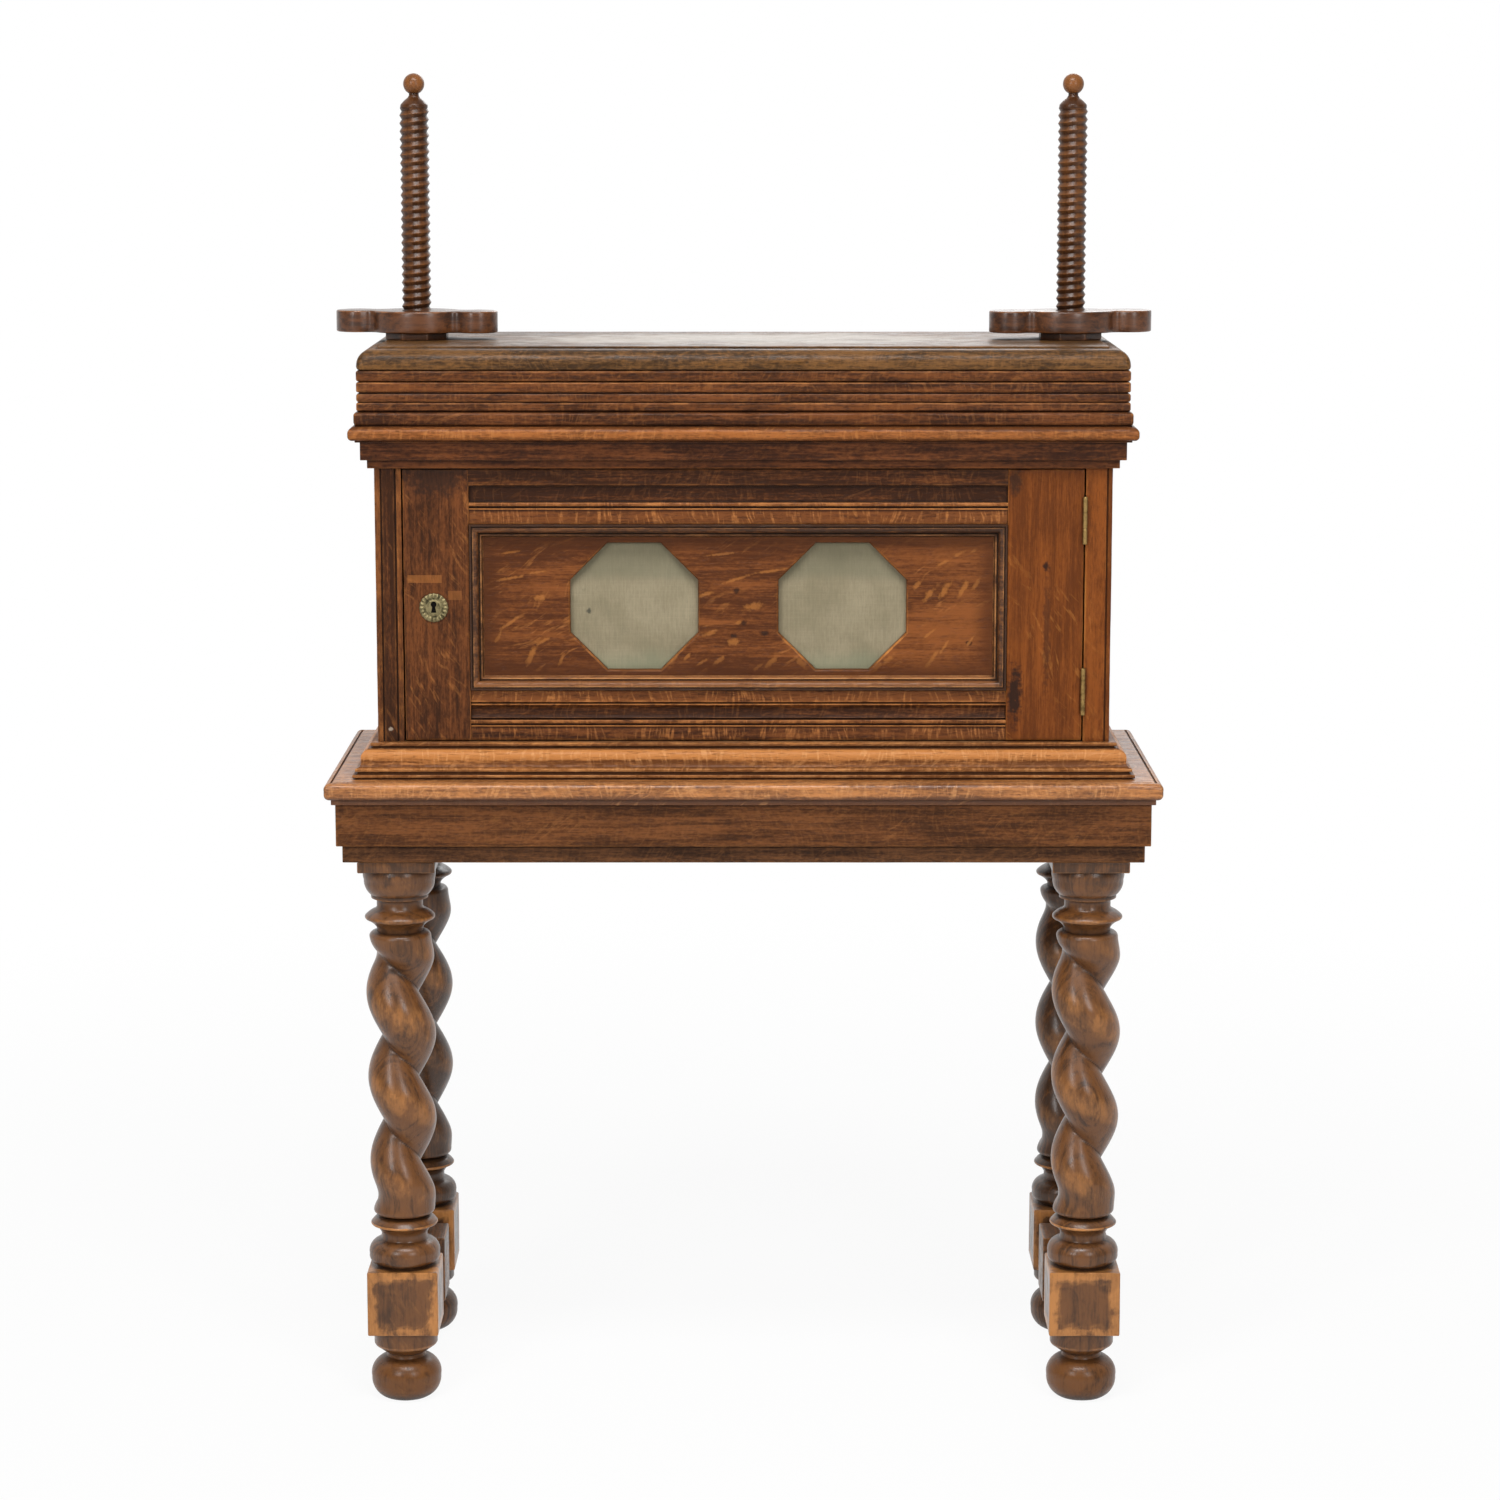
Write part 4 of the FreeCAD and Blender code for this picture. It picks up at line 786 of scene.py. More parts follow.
PENDANT = ((0, 49), (20.6, 49.2), (33.2, 58.4), (34.3, 60.4), (34.4, 77.6), (0, 78))
LOWER_RINGS = (
    (30, 146), (31, 150), (33, 151), (37.9, 160, 36.8, 154), (30, 175.5, 36.3, 170), (25.4, 177.2),
    (24.6, 179), (24.6, 184), (26, 186.2), (34.6, 193.2, 29.5, 190.6), (34.9, 196.4, 35.9, 195),
    (26, 203, 31, 200.6), (24.5, 204.4),
)
UPPER_RINGS_AND_CUP = (
    (24.5, 516.8), (25, 521), (27, 523.5), (36.4, 530, 31, 527), (37.0, 533.6, 37.4, 531.8),
    (26.5, 540.5, 32, 537.8), (24.6, 543), (24.6, 549), (26.5, 552.5, 25.1, 551.4), (30.4, 553),
    (30.6, 556.6), (31.6, 557.2), (37.8, 573, 36.2, 563.6), (38.4, 582, 38.8, 578), (37.2, 586.4),
    (20, 586.6),
)
BUN = (
    (23, 0.0), (25.5, 0.7), (37.6, 22, 34.8, 9.5), (26, 43.6, 35, 36), (21.6, 45.6), (20.4, 48),
    (20.4, 57.8), (10, 58.2),
)
TURNED_OAK = {"fleck": 0.15, "rings": 0.55, "mottle": 0.2, "pores": 0.2, "relief": 0.35}


def twist(shell, centre):
    """A left-hand strand whose groove fades into a round lip at each end."""
    angle = around(112)
    rings, worn = [], []
    for z in np.linspace(TWIST_FOOT, TWIST_HEAD, 200):
        share = (z - TWIST_FOOT) / (TWIST_HEAD - TWIST_FOOT)
        turn = math.radians(TWIST_START) - FULL_TURN * (z - TWIST_FOOT) / TWIST_PITCH
        bulge = TWIST_BULGE_FOOT + (TWIST_BULGE_HEAD - TWIST_BULGE_FOOT) * share
        strand = TWIST_WAIST + (bulge - TWIST_WAIST) * np.abs(np.sin((angle - turn) / 2)) ** 1.05
        near = min(z - TWIST_FOOT, TWIST_HEAD - z)
        roundness = math.sqrt(1 - (1 - min(near / LIP_HEIGHT, 1.0)) ** 2)
        lip = TWIST_NECK + (TWIST_LIP - TWIST_NECK) * roundness
        blend = smooth_step(*TWIST_FADE, near)
        radius = (1 - blend) * lip + blend * strand
        rings.append(round_ring(centre, radius, z, len(angle)))
        worn.extend(0.5 * smooth_step(30.0, 37.0, radius))
    shell.rings(rings, worn)


def squared(shell, half, foot, head, centre, edge, rub=0.0):
    """A square block of a leg with a grid on each face, rubbed towards its edges."""
    outline = np.array(eased(rectangle((-half, -half), (half, half)), edge, 5))
    height = head - foot
    ends = [(0, edge), (0.3 * edge, 0.3 * edge), (edge, 0)]
    inner = [(z, 0) for z in np.linspace(edge, height - edge, max(3, int(height / 5)))[1:-1]]
    rings, worn = [], []
    for z, drawn in ends + inner + [(height - z, drawn) for z, drawn in reversed(ends)]:
        ring = inset(outline, drawn)
        rings.append(at_height(ring, foot + z) + centre)
        from_edge = np.minimum(half - np.min(np.abs(ring), axis=1), min(z, height - z))
        ragged = BLOCK_RAGGED * wobble_at(rings[-1], int(rings[0][0, 0]) % 89, 13)
        worn.extend(rub * (1 - smooth_step(*BLOCK_BORDER, from_edge + ragged)))
    shell.rings(rings, worn)


def at_corners(kind):
    """The four pieces of a kind: a count, the node, whether it is in front, and its centre on the floor."""
    for index, (end, side) in enumerate((e, s) for e in ENDS for s in SIDES):
        node = f"{kind}_{end}_{side}"
        yield index, node, end == "front", np.append(middle_of(node)[:2], 0)


def build_legs():
    for index, node, in_front, centre in at_corners("leg"):
        shell = Shell()
        turned(shell, eased(PENDANT, 0.8, 6, closed=False), centre)
        squared(shell, BLOCK_HALF, BLOCK_FOOT, BLOCK_HEAD, centre, edge=1.6, rub=1.0)
        turned(shell, closed_on_axis(path(*LOWER_RINGS, steps=6)), centre)
        twist(shell, centre)
        turned(shell, closed_on_axis(path(*UPPER_RINGS_AND_CUP, steps=6)), centre)
        squared(shell, ABACUS_HALF, ABACUS_FOOT, POST_FOOT, centre, edge=1.4)
        squared(shell, POST_HALF, POST_FOOT, POST_HEAD, centre, edge=1.0)
        oak_piece(
            node, shell, "leg", "z", 30 + index, wobble=0.2, chip=0.35, wear=0.95, gloss=0.28, coat=0.4,
            # The back legs are darker, and each leg is darker from its cup up under the aprons: painted shade
            shift=0.06 if in_front else -0.1, tint=by_height(0, (560, 0.0), (584, -0.04), (588, -0.12)),
            **TURNED_OAK,
        )


def build_feet():
    for index, node, in_front, centre in at_corners("bun_foot"):
        shell = Shell()
        turned(shell, closed_on_axis(path(*BUN)), centre)
        oak_piece(
            node, shell, "leg", "z", 40 + index, wobble=0.2, wear=0.7, gloss=0.22, coat=0.25,
            # The back feet are darker: painted shade
            shift=0.14 if in_front else -0.05, **TURNED_OAK,
        )


def build_stretchers():
    block = 31.0
    for index, side in enumerate(SIDES):
        node = f"stretcher_{side}"
        low, high = box_mm(node)
        centre = (low + high) / 2
        half, reach = (high[:2] - low[:2]) / 2
        bulb = path(
            (17.5, block - 1), (18.5, block + 2), (32.8, (reach + block) / 2, 29.5, block + 11),
            (18.5, reach - 2, 29.5, reach - 11), (17.5, reach),
        )
        shell = Shell()
        for sign in (-1, 1):
            line = [(radius, sign * along) for radius, along in closed_on_axis(bulb)]
            turned(shell, line, centre, axis="y")
        bar(shell, "y", centre - (half, block, half), centre + (half, block, half), edge=2.0, round_end=2.0)
        oak_piece(
            node, shell, "leg", "y", 46 + index, wobble=0.2,
            fleck=0.2, rings=0.6, wear=0.7, gloss=0.3, coat=0.12,
        )


# Cabinet

# Front of the stiles, the door and the cabinet floor
FACE = box_mm("door_stile_lock")[0][1]


def mouldings(kind, profile, stain, seed, **finish):
    """The same moulding along the front and both sides, mitred at the front corners."""
    half_x, half_y, _ = box_mm("cabinet_floor")[1]
    for index, along in enumerate(("front", *SIDES)):
        shell = Shell()
        if along == "front":
            strip(shell, profile, lambda a, b, t: (t, -half_y - a, b), -half_x, half_x, (-1, 1))
        else:
            sign = SIDES[along]
            strip(shell, profile, lambda a, b, t: (sign * (half_x + a), t, b), -half_y, half_y, (-1, 0))
        grain = "x" if along == "front" else "y"
        oak_piece(f"{kind}_{along}", shell, stain, grain, seed + index, chip=0.35, **finish)


# Mouldings as (out, up) from the cabinet's face and their own foot
PLINTH = (
    (0, 0), (22.5, 0), (22.5, 1.5), (25.5, 1.8), (25.5, 4.2), (24.9, 4.8), (20.4, 5.0), (20.2, 7.4),
    (22.6, 7.8), (22.8, 10.4), (22.0, 11.2), (19.6, 11.6), (16.8, 19.0, 17.2, 14.8), (9.4, 30.0, 15.2, 27.0),
    (9.0, 30.5), (5.0, 30.8), (5.0, 32.4), (7.4, 32.8), (7.6, 35.7), (6.8, 36.5), (0, 36.5),
)
# Dark lines in the quirks and at the joint over the stand top, and a darker hollow: painted shade; the ovolo
# is lighter
PLINTH_SHADES = (
    (0.0, -0.3), (1.6, -0.3), (2.0, 0.0), (4.4, 0.0), (5.0, -0.3), (7.5, -0.3), (8.0, 0.0), (11.0, 0.0),
    (12.0, -0.12), (18.0, -0.08), (21.5, 0.16), (29.5, 0.22), (30.6, -0.3), (32.6, -0.3), (33.2, -0.06),
)
FRIEZE = (
    (-20, 0), (6.5, 0), (6.5, 8.2), (7.4, 9.0), (13, 9.0), (13, 27.8), (18, 28.0), (18, 30), (-20, 30),
)
# Darker towards the head, under the cornice: painted shade
FRIEZE_SHADES = ((0, 0.04), (8.0, 0.0), (10.0, -0.02), (26.0, -0.02), (30.0, -0.1))


def build_plinth():
    foot = box_mm("plinth_moulding_front")[0][2]
    outline = divide(path(*moved(PLINTH, 0, foot), steps=6), 6)
    tint = by_height(foot, *PLINTH_SHADES)
    mouldings("plinth_moulding", outline, "nosing", 60, tint=tint, fleck=0.3, tick=0.7)
    oak_bar("plinth_rail_back", "bead", "x", 64, wear=0.4)


def build_frieze():
    foot = box_mm("frieze_front")[0][2]
    outline = eased(moved(FRIEZE, 0, foot), 0.8, 6)
    tint = by_height(foot, *FRIEZE_SHADES)
    mouldings("frieze", outline, "frieze", 66, tint=tint, wear=0.5, fleck=0.2, tick=0.1)


def build_cornice():
    low, high = box_mm("cornice_board")
    # Darker at the foot and at the head under the press bed: painted shade; a little darker towards the ends
    across = ((low[0], low[0] + 60, 180, high[0]), (-0.08, 0.0, 0.0, -0.1))
    upward = by_height(low[2], (0, -0.2), (2.0, -0.02), (5.0, 0.05), (10.0, 0.03), (13.0, -0.14))
    oak_board(
        "cornice_board", "cornice", 70, steps=8,
        upper=((9.0, 0), (8.6, -1.4), (7.4, -1.6), (6.8, -0.5), (0, -6.4, 2.2, -2.6)),
        lower=((0, 5), (4.8, 0, 1.3, 1.4)),
        tint=lambda place: upward(place) + np.interp(place[:, 0], *across),
        fleck=0.3, tick=0.4, wear=0.7,
    )


# A quirk runs down a stile's face at each of these distances from the door
STILE_QUIRKS = {"left": (5.4, 20.4), "right": (22.0,)}
QUIRK = ((0, 0), (0.3, 1.7), (1.5, 1.7), (1.9, 0.2))
# Lighter and darker bands across the face, by distance from the door
STILE_SHADES = {
    "left": ((0, 5.0, 7.4, 20.0, 22.5, 29), (0.09, 0.09, -0.06, -0.03, 0.08, 0.08)),
    "right": ((0, 20.0, 22.0, 24.0, 29), (0.0, -0.02, -0.15, -0.14, -0.2)),
}
STILE_PLUG = ((-372.7, FACE, 735.5), (2.8, 2.0, 2.3), (0.36, 0.28, 0.21), 0.8, False)
STILE_FINISH = {
    "left": {"stain": "lock", "wear": 0.5, "shift": -0.06, "marks": (STILE_PLUG,)},
    "right": {"stain": "hinge", "wear": 0.7, "shift": 0.08},
}


def build_carcass():
    for node, grain, stain, seed in (
        ("cabinet_floor", "x", "inside", 72), ("cabinet_side_left", "z", "lock", 73),
        ("cabinet_side_right", "z", "lock", 74), ("cabinet_back", "x", "bead", 75),
    ):
        oak_bar(node, stain, grain, seed, edge=0.8, fleck=0.45, wear=0.6, shift=0.05, gloss=0.08)
    for side, sign in SIDES.items():
        node = f"front_stile_{side}"
        low, high = box_mm(node)
        inner = low[0] if sign > 0 else high[0]
        width, back = high[0] - low[0], high[1]
        face = [(0, FACE)]
        for at in STILE_QUIRKS[side]:
            face += moved(QUIRK, at, FACE)
        face += [(width, FACE + 0.4), (width, back), (0, back)]
        outline = eased(face, 0.5, 6, steps=2)
        shell = Shell()
        strip(shell, outline, lambda a, b, t: (inner + sign * a, b, t), low[2], high[2])
        oak_piece(
            node, shell, grain="z", seed=78 + sign, wobble=0.2, chip=0.6, fleck=0.3,
            tint=lambda place: np.interp(sign * (place[:, 0] - inner), *STILE_SHADES[side]),
            **STILE_FINISH[side],
        )


# Door

BLACK = (0.012, 0.006, 0.004)
AMBER = (0.40, 0.145, 0.036)
# Patches let in beside the lock, and the head of the stile darkened with painted shade under the frieze
LOCK_MARKS = (
    ((-335.0, FACE, 895.0), (18.5, 1.5, 4.2), AMBER, 0.38, True),
    ((-303.5, FACE, 877.5), (7.4, 1.5, 5.0), AMBER, 0.26, True),
    ((-322.0, FACE, 1004.0), (60.0, 3.0, 26.0), (0.022, 0.010, 0.006), 0.75, False),
)
# A knot with the streak under it, a stain at the foot, and painted shade under the frieze at the head
HINGE_MARKS = (
    ((317.6, FACE, 907.5), (4.2, 2.0, 5.5), BLACK, 0.9, False),
    ((319.0, FACE, 840.0), (5.0, 2.0, 78.0), (0.05, 0.016, 0.006), 0.6, False),
    ((286.0, FACE, 772.0), (9.5, 2.0, 40.0), (0.014, 0.007, 0.005), 0.9, False),
    ((284.0, FACE, 998.0), (9.0, 2.0, 18.0), (0.02, 0.01, 0.006), 0.7, False),
)
# Rails as (in, up) from the door's face and their own head, and their shades by height: painted shade in the
# quirks and on the upper part of the top rail, under the frieze
RAIL_TOP = (
    (0, 0), (0, -16.4), (0.5, -17.0), (2.6, -17.2), (2.6, -18.2), (5, -18.4), (5, -34.2), (4.4, -34.8),
    (2.6, -35.0), (0.6, -35.3), (0.5, -38.8, -0.3, -37.0), (3.4, -39.3), (3.4, -40.6), (1.5, -41.0),
    (1.5, -42.4), (2.2, -43.2), (2.2, -58), (22, -58), (22, 0),
)
RAIL_TOP_SHADES = (
    (0, -0.12), (-16, -0.10), (-18, -0.16), (-34, -0.10), (-35.2, 0.02), (-38.6, 0.06), (-39.2, -0.3),
    (-40.6, -0.3), (-41.2, 0.03), (-44, 0.06), (-58, 0.07),
)
RAIL_BOTTOM = (
    (2.2, 0), (2.2, -12.6), (2.8, -13.2), (4.8, -13.4), (4.8, -14.4), (2.4, -14.7), (2.2, -16.0),
    (3.0, -16.6), (4.0, -30.2, 6.2, -24), (5.4, -30.8), (5.4, -31.6), (0.8, -31.9), (0.7, -35.4, -0.1, -33.6),
    (3.6, -35.8), (3.6, -37.2), (1.5, -37.5), (1.5, -38.7), (2.1, -39.4), (2.1, -53.5), (22, -53.5), (22, 0),
)
RAIL_BOTTOM_SHADES = (
    (0, 0.10), (-12.6, 0.10), (-13.4, -0.3), (-14.4, -0.3), (-14.8, 0.02), (-17, -0.08), (-30, -0.12),
    (-30.9, -0.3), (-31.6, -0.3), (-32, 0.05), (-35.2, 0.04), (-35.9, -0.3), (-37.1, -0.3), (-37.6, 0.05),
    (-40, 0.03), (-53.5, 0.0),
)


def build_door_frame():
    stile = {"grain": "z", "edge": 1.0, "wear": 0.6}
    oak_bar("door_stile_lock", "lock", seed=82, fleck=0.45, marks=LOCK_MARKS, **stile)
    oak_bar("door_stile_hinge", "hinge", seed=83, shift=-0.04, mottle=0.2, marks=HINGE_MARKS, **stile)
    for node, seed, profile, shades in (
        ("door_rail_top", 85, RAIL_TOP, RAIL_TOP_SHADES),
        ("door_rail_bottom", 86, RAIL_BOTTOM, RAIL_BOTTOM_SHADES),
    ):
        low, high = box_mm(node)
        outline = eased(path(*moved(profile, FACE, high[2])), 0.5, 6, steps=2)
        shell = Shell()
        strip(shell, outline, lambda a, b, t: (t, a, b), low[0], high[0])
        oak_piece(
            node, shell, "rail", "x", seed, chip=0.3, tint=by_height(high[2], *shades), fleck=0.15, tick=0.9,
        )


# An outer fillet, a broad ovolo and a small bead against the panel, as (in, back) from the moulding's edge
PANEL_MOULDING = (
    (0, 12), (0, 0.7), (0.5, 0), (1.9, 0), (2.3, 0.6), (2.5, 2.0), (3.2, 2.2), (3.5, 1.0),
    (9.4, 6.6, 7.2, 1.92), (9.7, 8.64), (10.4, 8.88), (10.7, 7.92), (12.7, 8.4, 11.8, 7.44), (13.1, 10.2),
    (14.3, 11.6), (14.3, 12),
)
FILLET_WIDTH = 3.4
# Painted light on the lower length, which faces up to the lamps, and painted shade on the upper, left and
# right lengths
LENGTH_LIGHT_AND_SHADE = np.array([0.14, -0.10, -0.05, -0.05])


def build_panel_moulding():
    low, high = box_mm("panel_moulding")
    (x0, z0), (x1, z1) = low[[0, 2]], high[[0, 2]]
    line = path(*moved(PANEL_MOULDING, 0, low[1]), steps=6)
    shell = Shell()
    for put, start, end in (
        (lambda a, b, t: (t, b, z0 + a), x0, x1), (lambda a, b, t: (t, b, z1 - a), x0, x1),
        (lambda a, b, t: (x0 + a, b, t), z0, z1), (lambda a, b, t: (x1 - a, b, t), z0, z1),
    ):
        strip(shell, line, put, start, end, (1, -1))

    def tint(place):
        """Painted shade along the outer fillet; painted light on the lower length and painted shade on the
        upper one.
        """
        x, z = place[:, 0], place[:, 2]
        to_edge = np.stack([z - z0, z1 - z, x - x0, x1 - x])
        return np.where(to_edge.min(axis=0) < FILLET_WIDTH, -0.3, LENGTH_LIGHT_AND_SHADE[np.argmin(to_edge, axis=0)])

    oak_piece(
        "panel_moulding", shell, "moulding", "x", 88, wobble=0.1, chip=0.2, tint=tint,
        fleck=0.15, tick=0.3, wear=0.9, gloss=0.3,
    )


WINDOW_HALF = 134.5 / 2
# The moulding covers so much of the panel, and painted shade lies so far beyond it
MOULDING_WIDTH, RIM_WIDTH = 14.0, 26.0
# Window edge from the face inwards as (grown, depth, rubbed): a rounded bevel, then the straight wall; the
# rubbed rings are marked on their lower half only, as painted light
WINDOW_EDGE = ((2.6, 0.0, 0), (1.6, 0.25, 1), (0.7, 1.0, 1), (0.15, 2.1, 1), (0.0, 3.2, 0), (0.0, 8.0, 0))
# Dark spots as (x, z, half width)
PANEL_SPOTS = (
    (21.6, 836.4, 6.0), (-7.9, 881.0, 5.0), (-0.6, 847.0, 5.5), (-10.1, 833.2, 4.5), (238.0, 826.0, 4.5),
)
# Ray flecks as (x, z, length, width, slope)
PANEL_FLECKS = (
    (182.6, 886.8, 14.6, 6.7, 50), (195.4, 877.5, 21.9, 7.5, 52), (211.8, 881.2, 27.0, 7.1, 55),
    (231.8, 883.8, 25.5, 7.1, 58), (245.0, 888.3, 19.0, 5.9, 55), (210.0, 910.8, 16.8, 4.2, 25),
    (226.4, 920.1, 18.2, 4.6, 28), (241.0, 923.0, 12.4, 3.8, 30), (199.0, 808.4, 27.0, 5.9, 55),
    (212.2, 822.1, 25.5, 3.8, 58), (239.1, 827.6, 19.7, 3.8, 55), (153.5, 808.4, 20.4, 7.5, 45),
    (141.4, 800.3, 16.8, 6.7, 50), (61.2, 804.7, 21.1, 8.4, -45), (45.2, 826.9, 14.6, 5.0, -40),
    (28.4, 804.7, 22.6, 7.5, 45), (15.3, 799.9, 14.6, 5.0, 40), (-25.6, 807.3, 17.5, 6.7, 38),
    (-45.2, 804.7, 14.6, 4.2, 35), (-75.9, 807.7, 27.0, 10.1, 58), (-35.0, 836.5, 19.7, 6.7, 20),
    (-10.6, 826.9, 14.6, 10.1, 10), (10.2, 864.6, 27.7, 10.1, 12), (-5.1, 847.6, 10.9, 5.0, 25),
    (-39.8, 877.5, 19.7, 5.5, 15), (-8.1, 893.4, 35.0, 4.2, 18), (29.9, 902.3, 47.4, 3.8, 8),
    (-224.6, 812.1, 33.5, 7.5, 66), (-212.2, 827.6, 22.6, 5.0, 28), (-192.5, 807.7, 17.5, 4.6, 66),
    (-246.5, 846.9, 33.5, 4.6, 35), (-258.9, 832.1, 18.2, 4.2, 60), (-214.4, 873.8, 16.0, 7.5, 5),
    (-247.2, 894.2, 37.9, 4.2, 10), (-217.3, 900.8, 21.9, 3.4, 8), (-23.4, 920.1, 40.1, 3.4, 6),
    (-245.8, 921.9, 32.8, 3.4, 8), (195.4, 835.0, 18.2, 3.8, 40), (-59.8, 811.0, 13.1, 5.0, 50),
)
FLECK_SILK = (0.37, 0.138, 0.031)
PANEL_SHADES = ((-288, -110, -20, 40, 150, 277), (-0.04, -0.04, -0.07, -0.04, 0.05, 0.09))


def octagon(half):
    nick = half * math.tan(math.pi / 8)
    corners = [(half, -nick), (half, nick), (nick, half), (-nick, half)]
    return corners + [(-x, -z) for x, z in corners]


def build_panel():
    low, high = box_mm("door_panel")
    front = low[1]
    outer = divide(rectangle(low[[0, 2]], high[[0, 2]]), 20)
    loops_front, loops_back = ([np.array([(x, y, z) for x, z in outer])] for y in (front, high[1]))
    shell = Shell()
    shell.rings([loops_front[0], loops_back[0]], caps=False)
    for side in SIDES:
        cx, _, cz = middle_of(f"window_cloth_{side}")
        rings, worn = [], []
        for grow, depth, rub in WINDOW_EDGE:
            rim = np.array(eased(octagon(WINDOW_HALF + grow), 1.2, 6))
            rings.append(np.column_stack([cx + rim[:, 0], np.full(len(rim), front + depth), cz + rim[:, 1]]))
            # Only the lower half of the bevel is rubbed to the lighter bare colour: painted light on faces
            # turned up to the lamps
            worn.extend(rub * smooth_step(0.2, 0.6, -rim[:, 1] / WINDOW_HALF))
        shell.rings(rings, worn, caps=False)
        loops_front.append(rings[0])
        loops_back.append(rings[-1])
    fill_flat(shell, loops_front)
    fill_flat(shell, loops_back)
    marks = [((x, front, z), (half, 2.0, half * 0.8), BLACK, 0.75, False) for x, z, half in PANEL_SPOTS]
    for x, z, length, width, slope in PANEL_FLECKS:
        marks.append(((x, front, z), (length / 2, 2.0, width / 2), FLECK_SILK, 0.62, False, slope))
    field_low, field_high = box_mm("panel_moulding")
    oak_piece(
        "door_panel", shell, "panel", "x", 91, wobble=0.05, chip=0.25,
        tint=lambda place: np.interp(place[:, 0], *PANEL_SHADES),
        marks=marks, rim=(field_low + MOULDING_WIDTH, field_high - MOULDING_WIDTH, RIM_WIDTH),
        fleck=0.45, wear=0.9, mottle=0.3, pores=0.3,
    )


CLOTH_COUNT = 60


def build_cloths():
    index = np.arange(CLOTH_COUNT**2).reshape(CLOTH_COUNT, CLOTH_COUNT)
    quads = np.stack([index[:-1, :-1], index[:-1, 1:], index[1:, 1:], index[1:, :-1]], axis=-1).reshape(-1, 4)
    rim = np.concatenate([index[0], index[1:, -1], index[-1, -2::-1], index[-2:0:-1, 0]])
    ahead = np.roll(rim, -1)
    hem = np.column_stack([rim, ahead, ahead + index.size, rim + index.size])
    for count, side in enumerate(SIDES):
        node = f"window_cloth_{side}"
        low, high = box_mm(node)
        mid = (low + high) / 2
        xs, zs = (np.linspace(low[axis], high[axis], CLOTH_COUNT) for axis in (0, 2))
        grid = np.array([(x, 0, z) for z in zs for x in xs])
        away = np.max(np.abs(grid[:, [0, 2]] - mid[[0, 2]]), axis=1) / (high[0] - mid[0])
        slack = 1 - smooth_step(0.55, 0.9, away)
        ripple = 0.25 * wobble_at(grid, 200 + count, 45) + 0.12 * wobble_at(grid, 210 + count, 17)
        faces = []
        for depth in (low[1] + 0.35, high[1] - 0.05):
            faces.append(grid.copy())
            faces[-1][:, 1] = depth + slack * ripple
        shell = Shell()
        shell.add(np.concatenate(faces), np.concatenate([quads, quads[:, ::-1] + index.size, hem]))
        cloth = finish_piece(
            node + "_linen", shell, LINEN, node, slot="linen", wobble=0, chip=0, seed=95 + count,
        )


# Brass and iron

HINGE_LENGTH = 50.0
KNUCKLE_RADIUS, PIN_RADIUS = 2.6, 1.3
KNUCKLE_GAP = 0.15
# Sideways reach of a leaf from the pin's axis
LEAF_SPAN = (0.1, 1.9)


def build_hinges():
    fixed, door, pins = Shell(), Shell(), Shell()
    low, high = box_mm("hinge_pins")
    x, y, _ = (low + high) / 2
    leaf_back = box_mm("hinge_fixed_leaves")[1][1]
    for foot in (low[2], high[2] - HINGE_LENGTH):
        for shell, knuckles, sign in ((fixed, (0, 2), 1), (door, (1,), -1)):
            left, right = sorted(x + sign * reach for reach in LEAF_SPAN)
            for knuckle in knuckles:
                z0 = foot + HINGE_LENGTH / 3 * knuckle + (KNUCKLE_GAP if knuckle > 0 else 0)
                z1 = foot + HINGE_LENGTH / 3 * (knuckle + 1) - (KNUCKLE_GAP if knuckle < 2 else 0)
                rod(shell, (x, y, 0), KNUCKLE_RADIUS, z0, z1, count=28)
                bar(shell, "z", (left, y, z0), (right, FACE + 0.1, z1), edge=0.2, round_end=0.2)
            head = foot + HINGE_LENGTH
            bar(shell, "z", (left, FACE, foot), (right, leaf_back, head), edge=0.25, round_end=0.25)
        rod(pins, (x, y, 0), PIN_RADIUS, foot, head, count=28)
    for name, shell, node, wobble, seed in (
        ("hinge_fixed_brass", fixed, "hinge_fixed_leaves", 0.02, 101),
        ("hinge_door_brass", door, "hinge_door_leaves", 0.02, 102),
        ("hinge_pins_brass", pins, "hinge_pins", 0, 103),
    ):
        finish_piece(name, shell, BRASS, node, slot="brass", wobble=wobble, chip=0, seed=seed)


PETALS = 20
# The rosette from its rim inwards, as shares of the radius, of the depth, and of the depth cut between petals
ROSETTE = (
    (1.0, 0.0, 0.0), (1.0, 0.35, 0.0), (0.965, 0.62, 0.12), (0.9, 0.86, 0.3), (0.8, 0.98, 0.38),
    (0.7, 0.86, 0.3), (0.66, 0.62, 0.1), (0.63, 0.5, 0.0), (0.58, 0.48, 0.0), (0.55, 0.62, 0.0),
    (0.5, 0.8, 0.0), (0.45, 0.84, 0.0),
)
# The keyhole: a round eye above a flared slot
EYE_RADIUS, EYE_UP, NECK_HALF, SLOT_DOWN = 3.1, 3.7, 1.7, 5.2


def keyhole_reach(angle):
    """Distance from the plate's centre to the keyhole's edge."""
    s, c = math.sin(angle), math.cos(angle)
    if s <= -0.1:
        return min(SLOT_DOWN / -s, NECK_HALF / max(abs(c) + 0.25 * s, 0.02))
    aside = abs(EYE_UP * c)
    return EYE_UP * s + math.sqrt(EYE_RADIUS**2 - aside**2) if aside < EYE_RADIUS else NECK_HALF / abs(c)


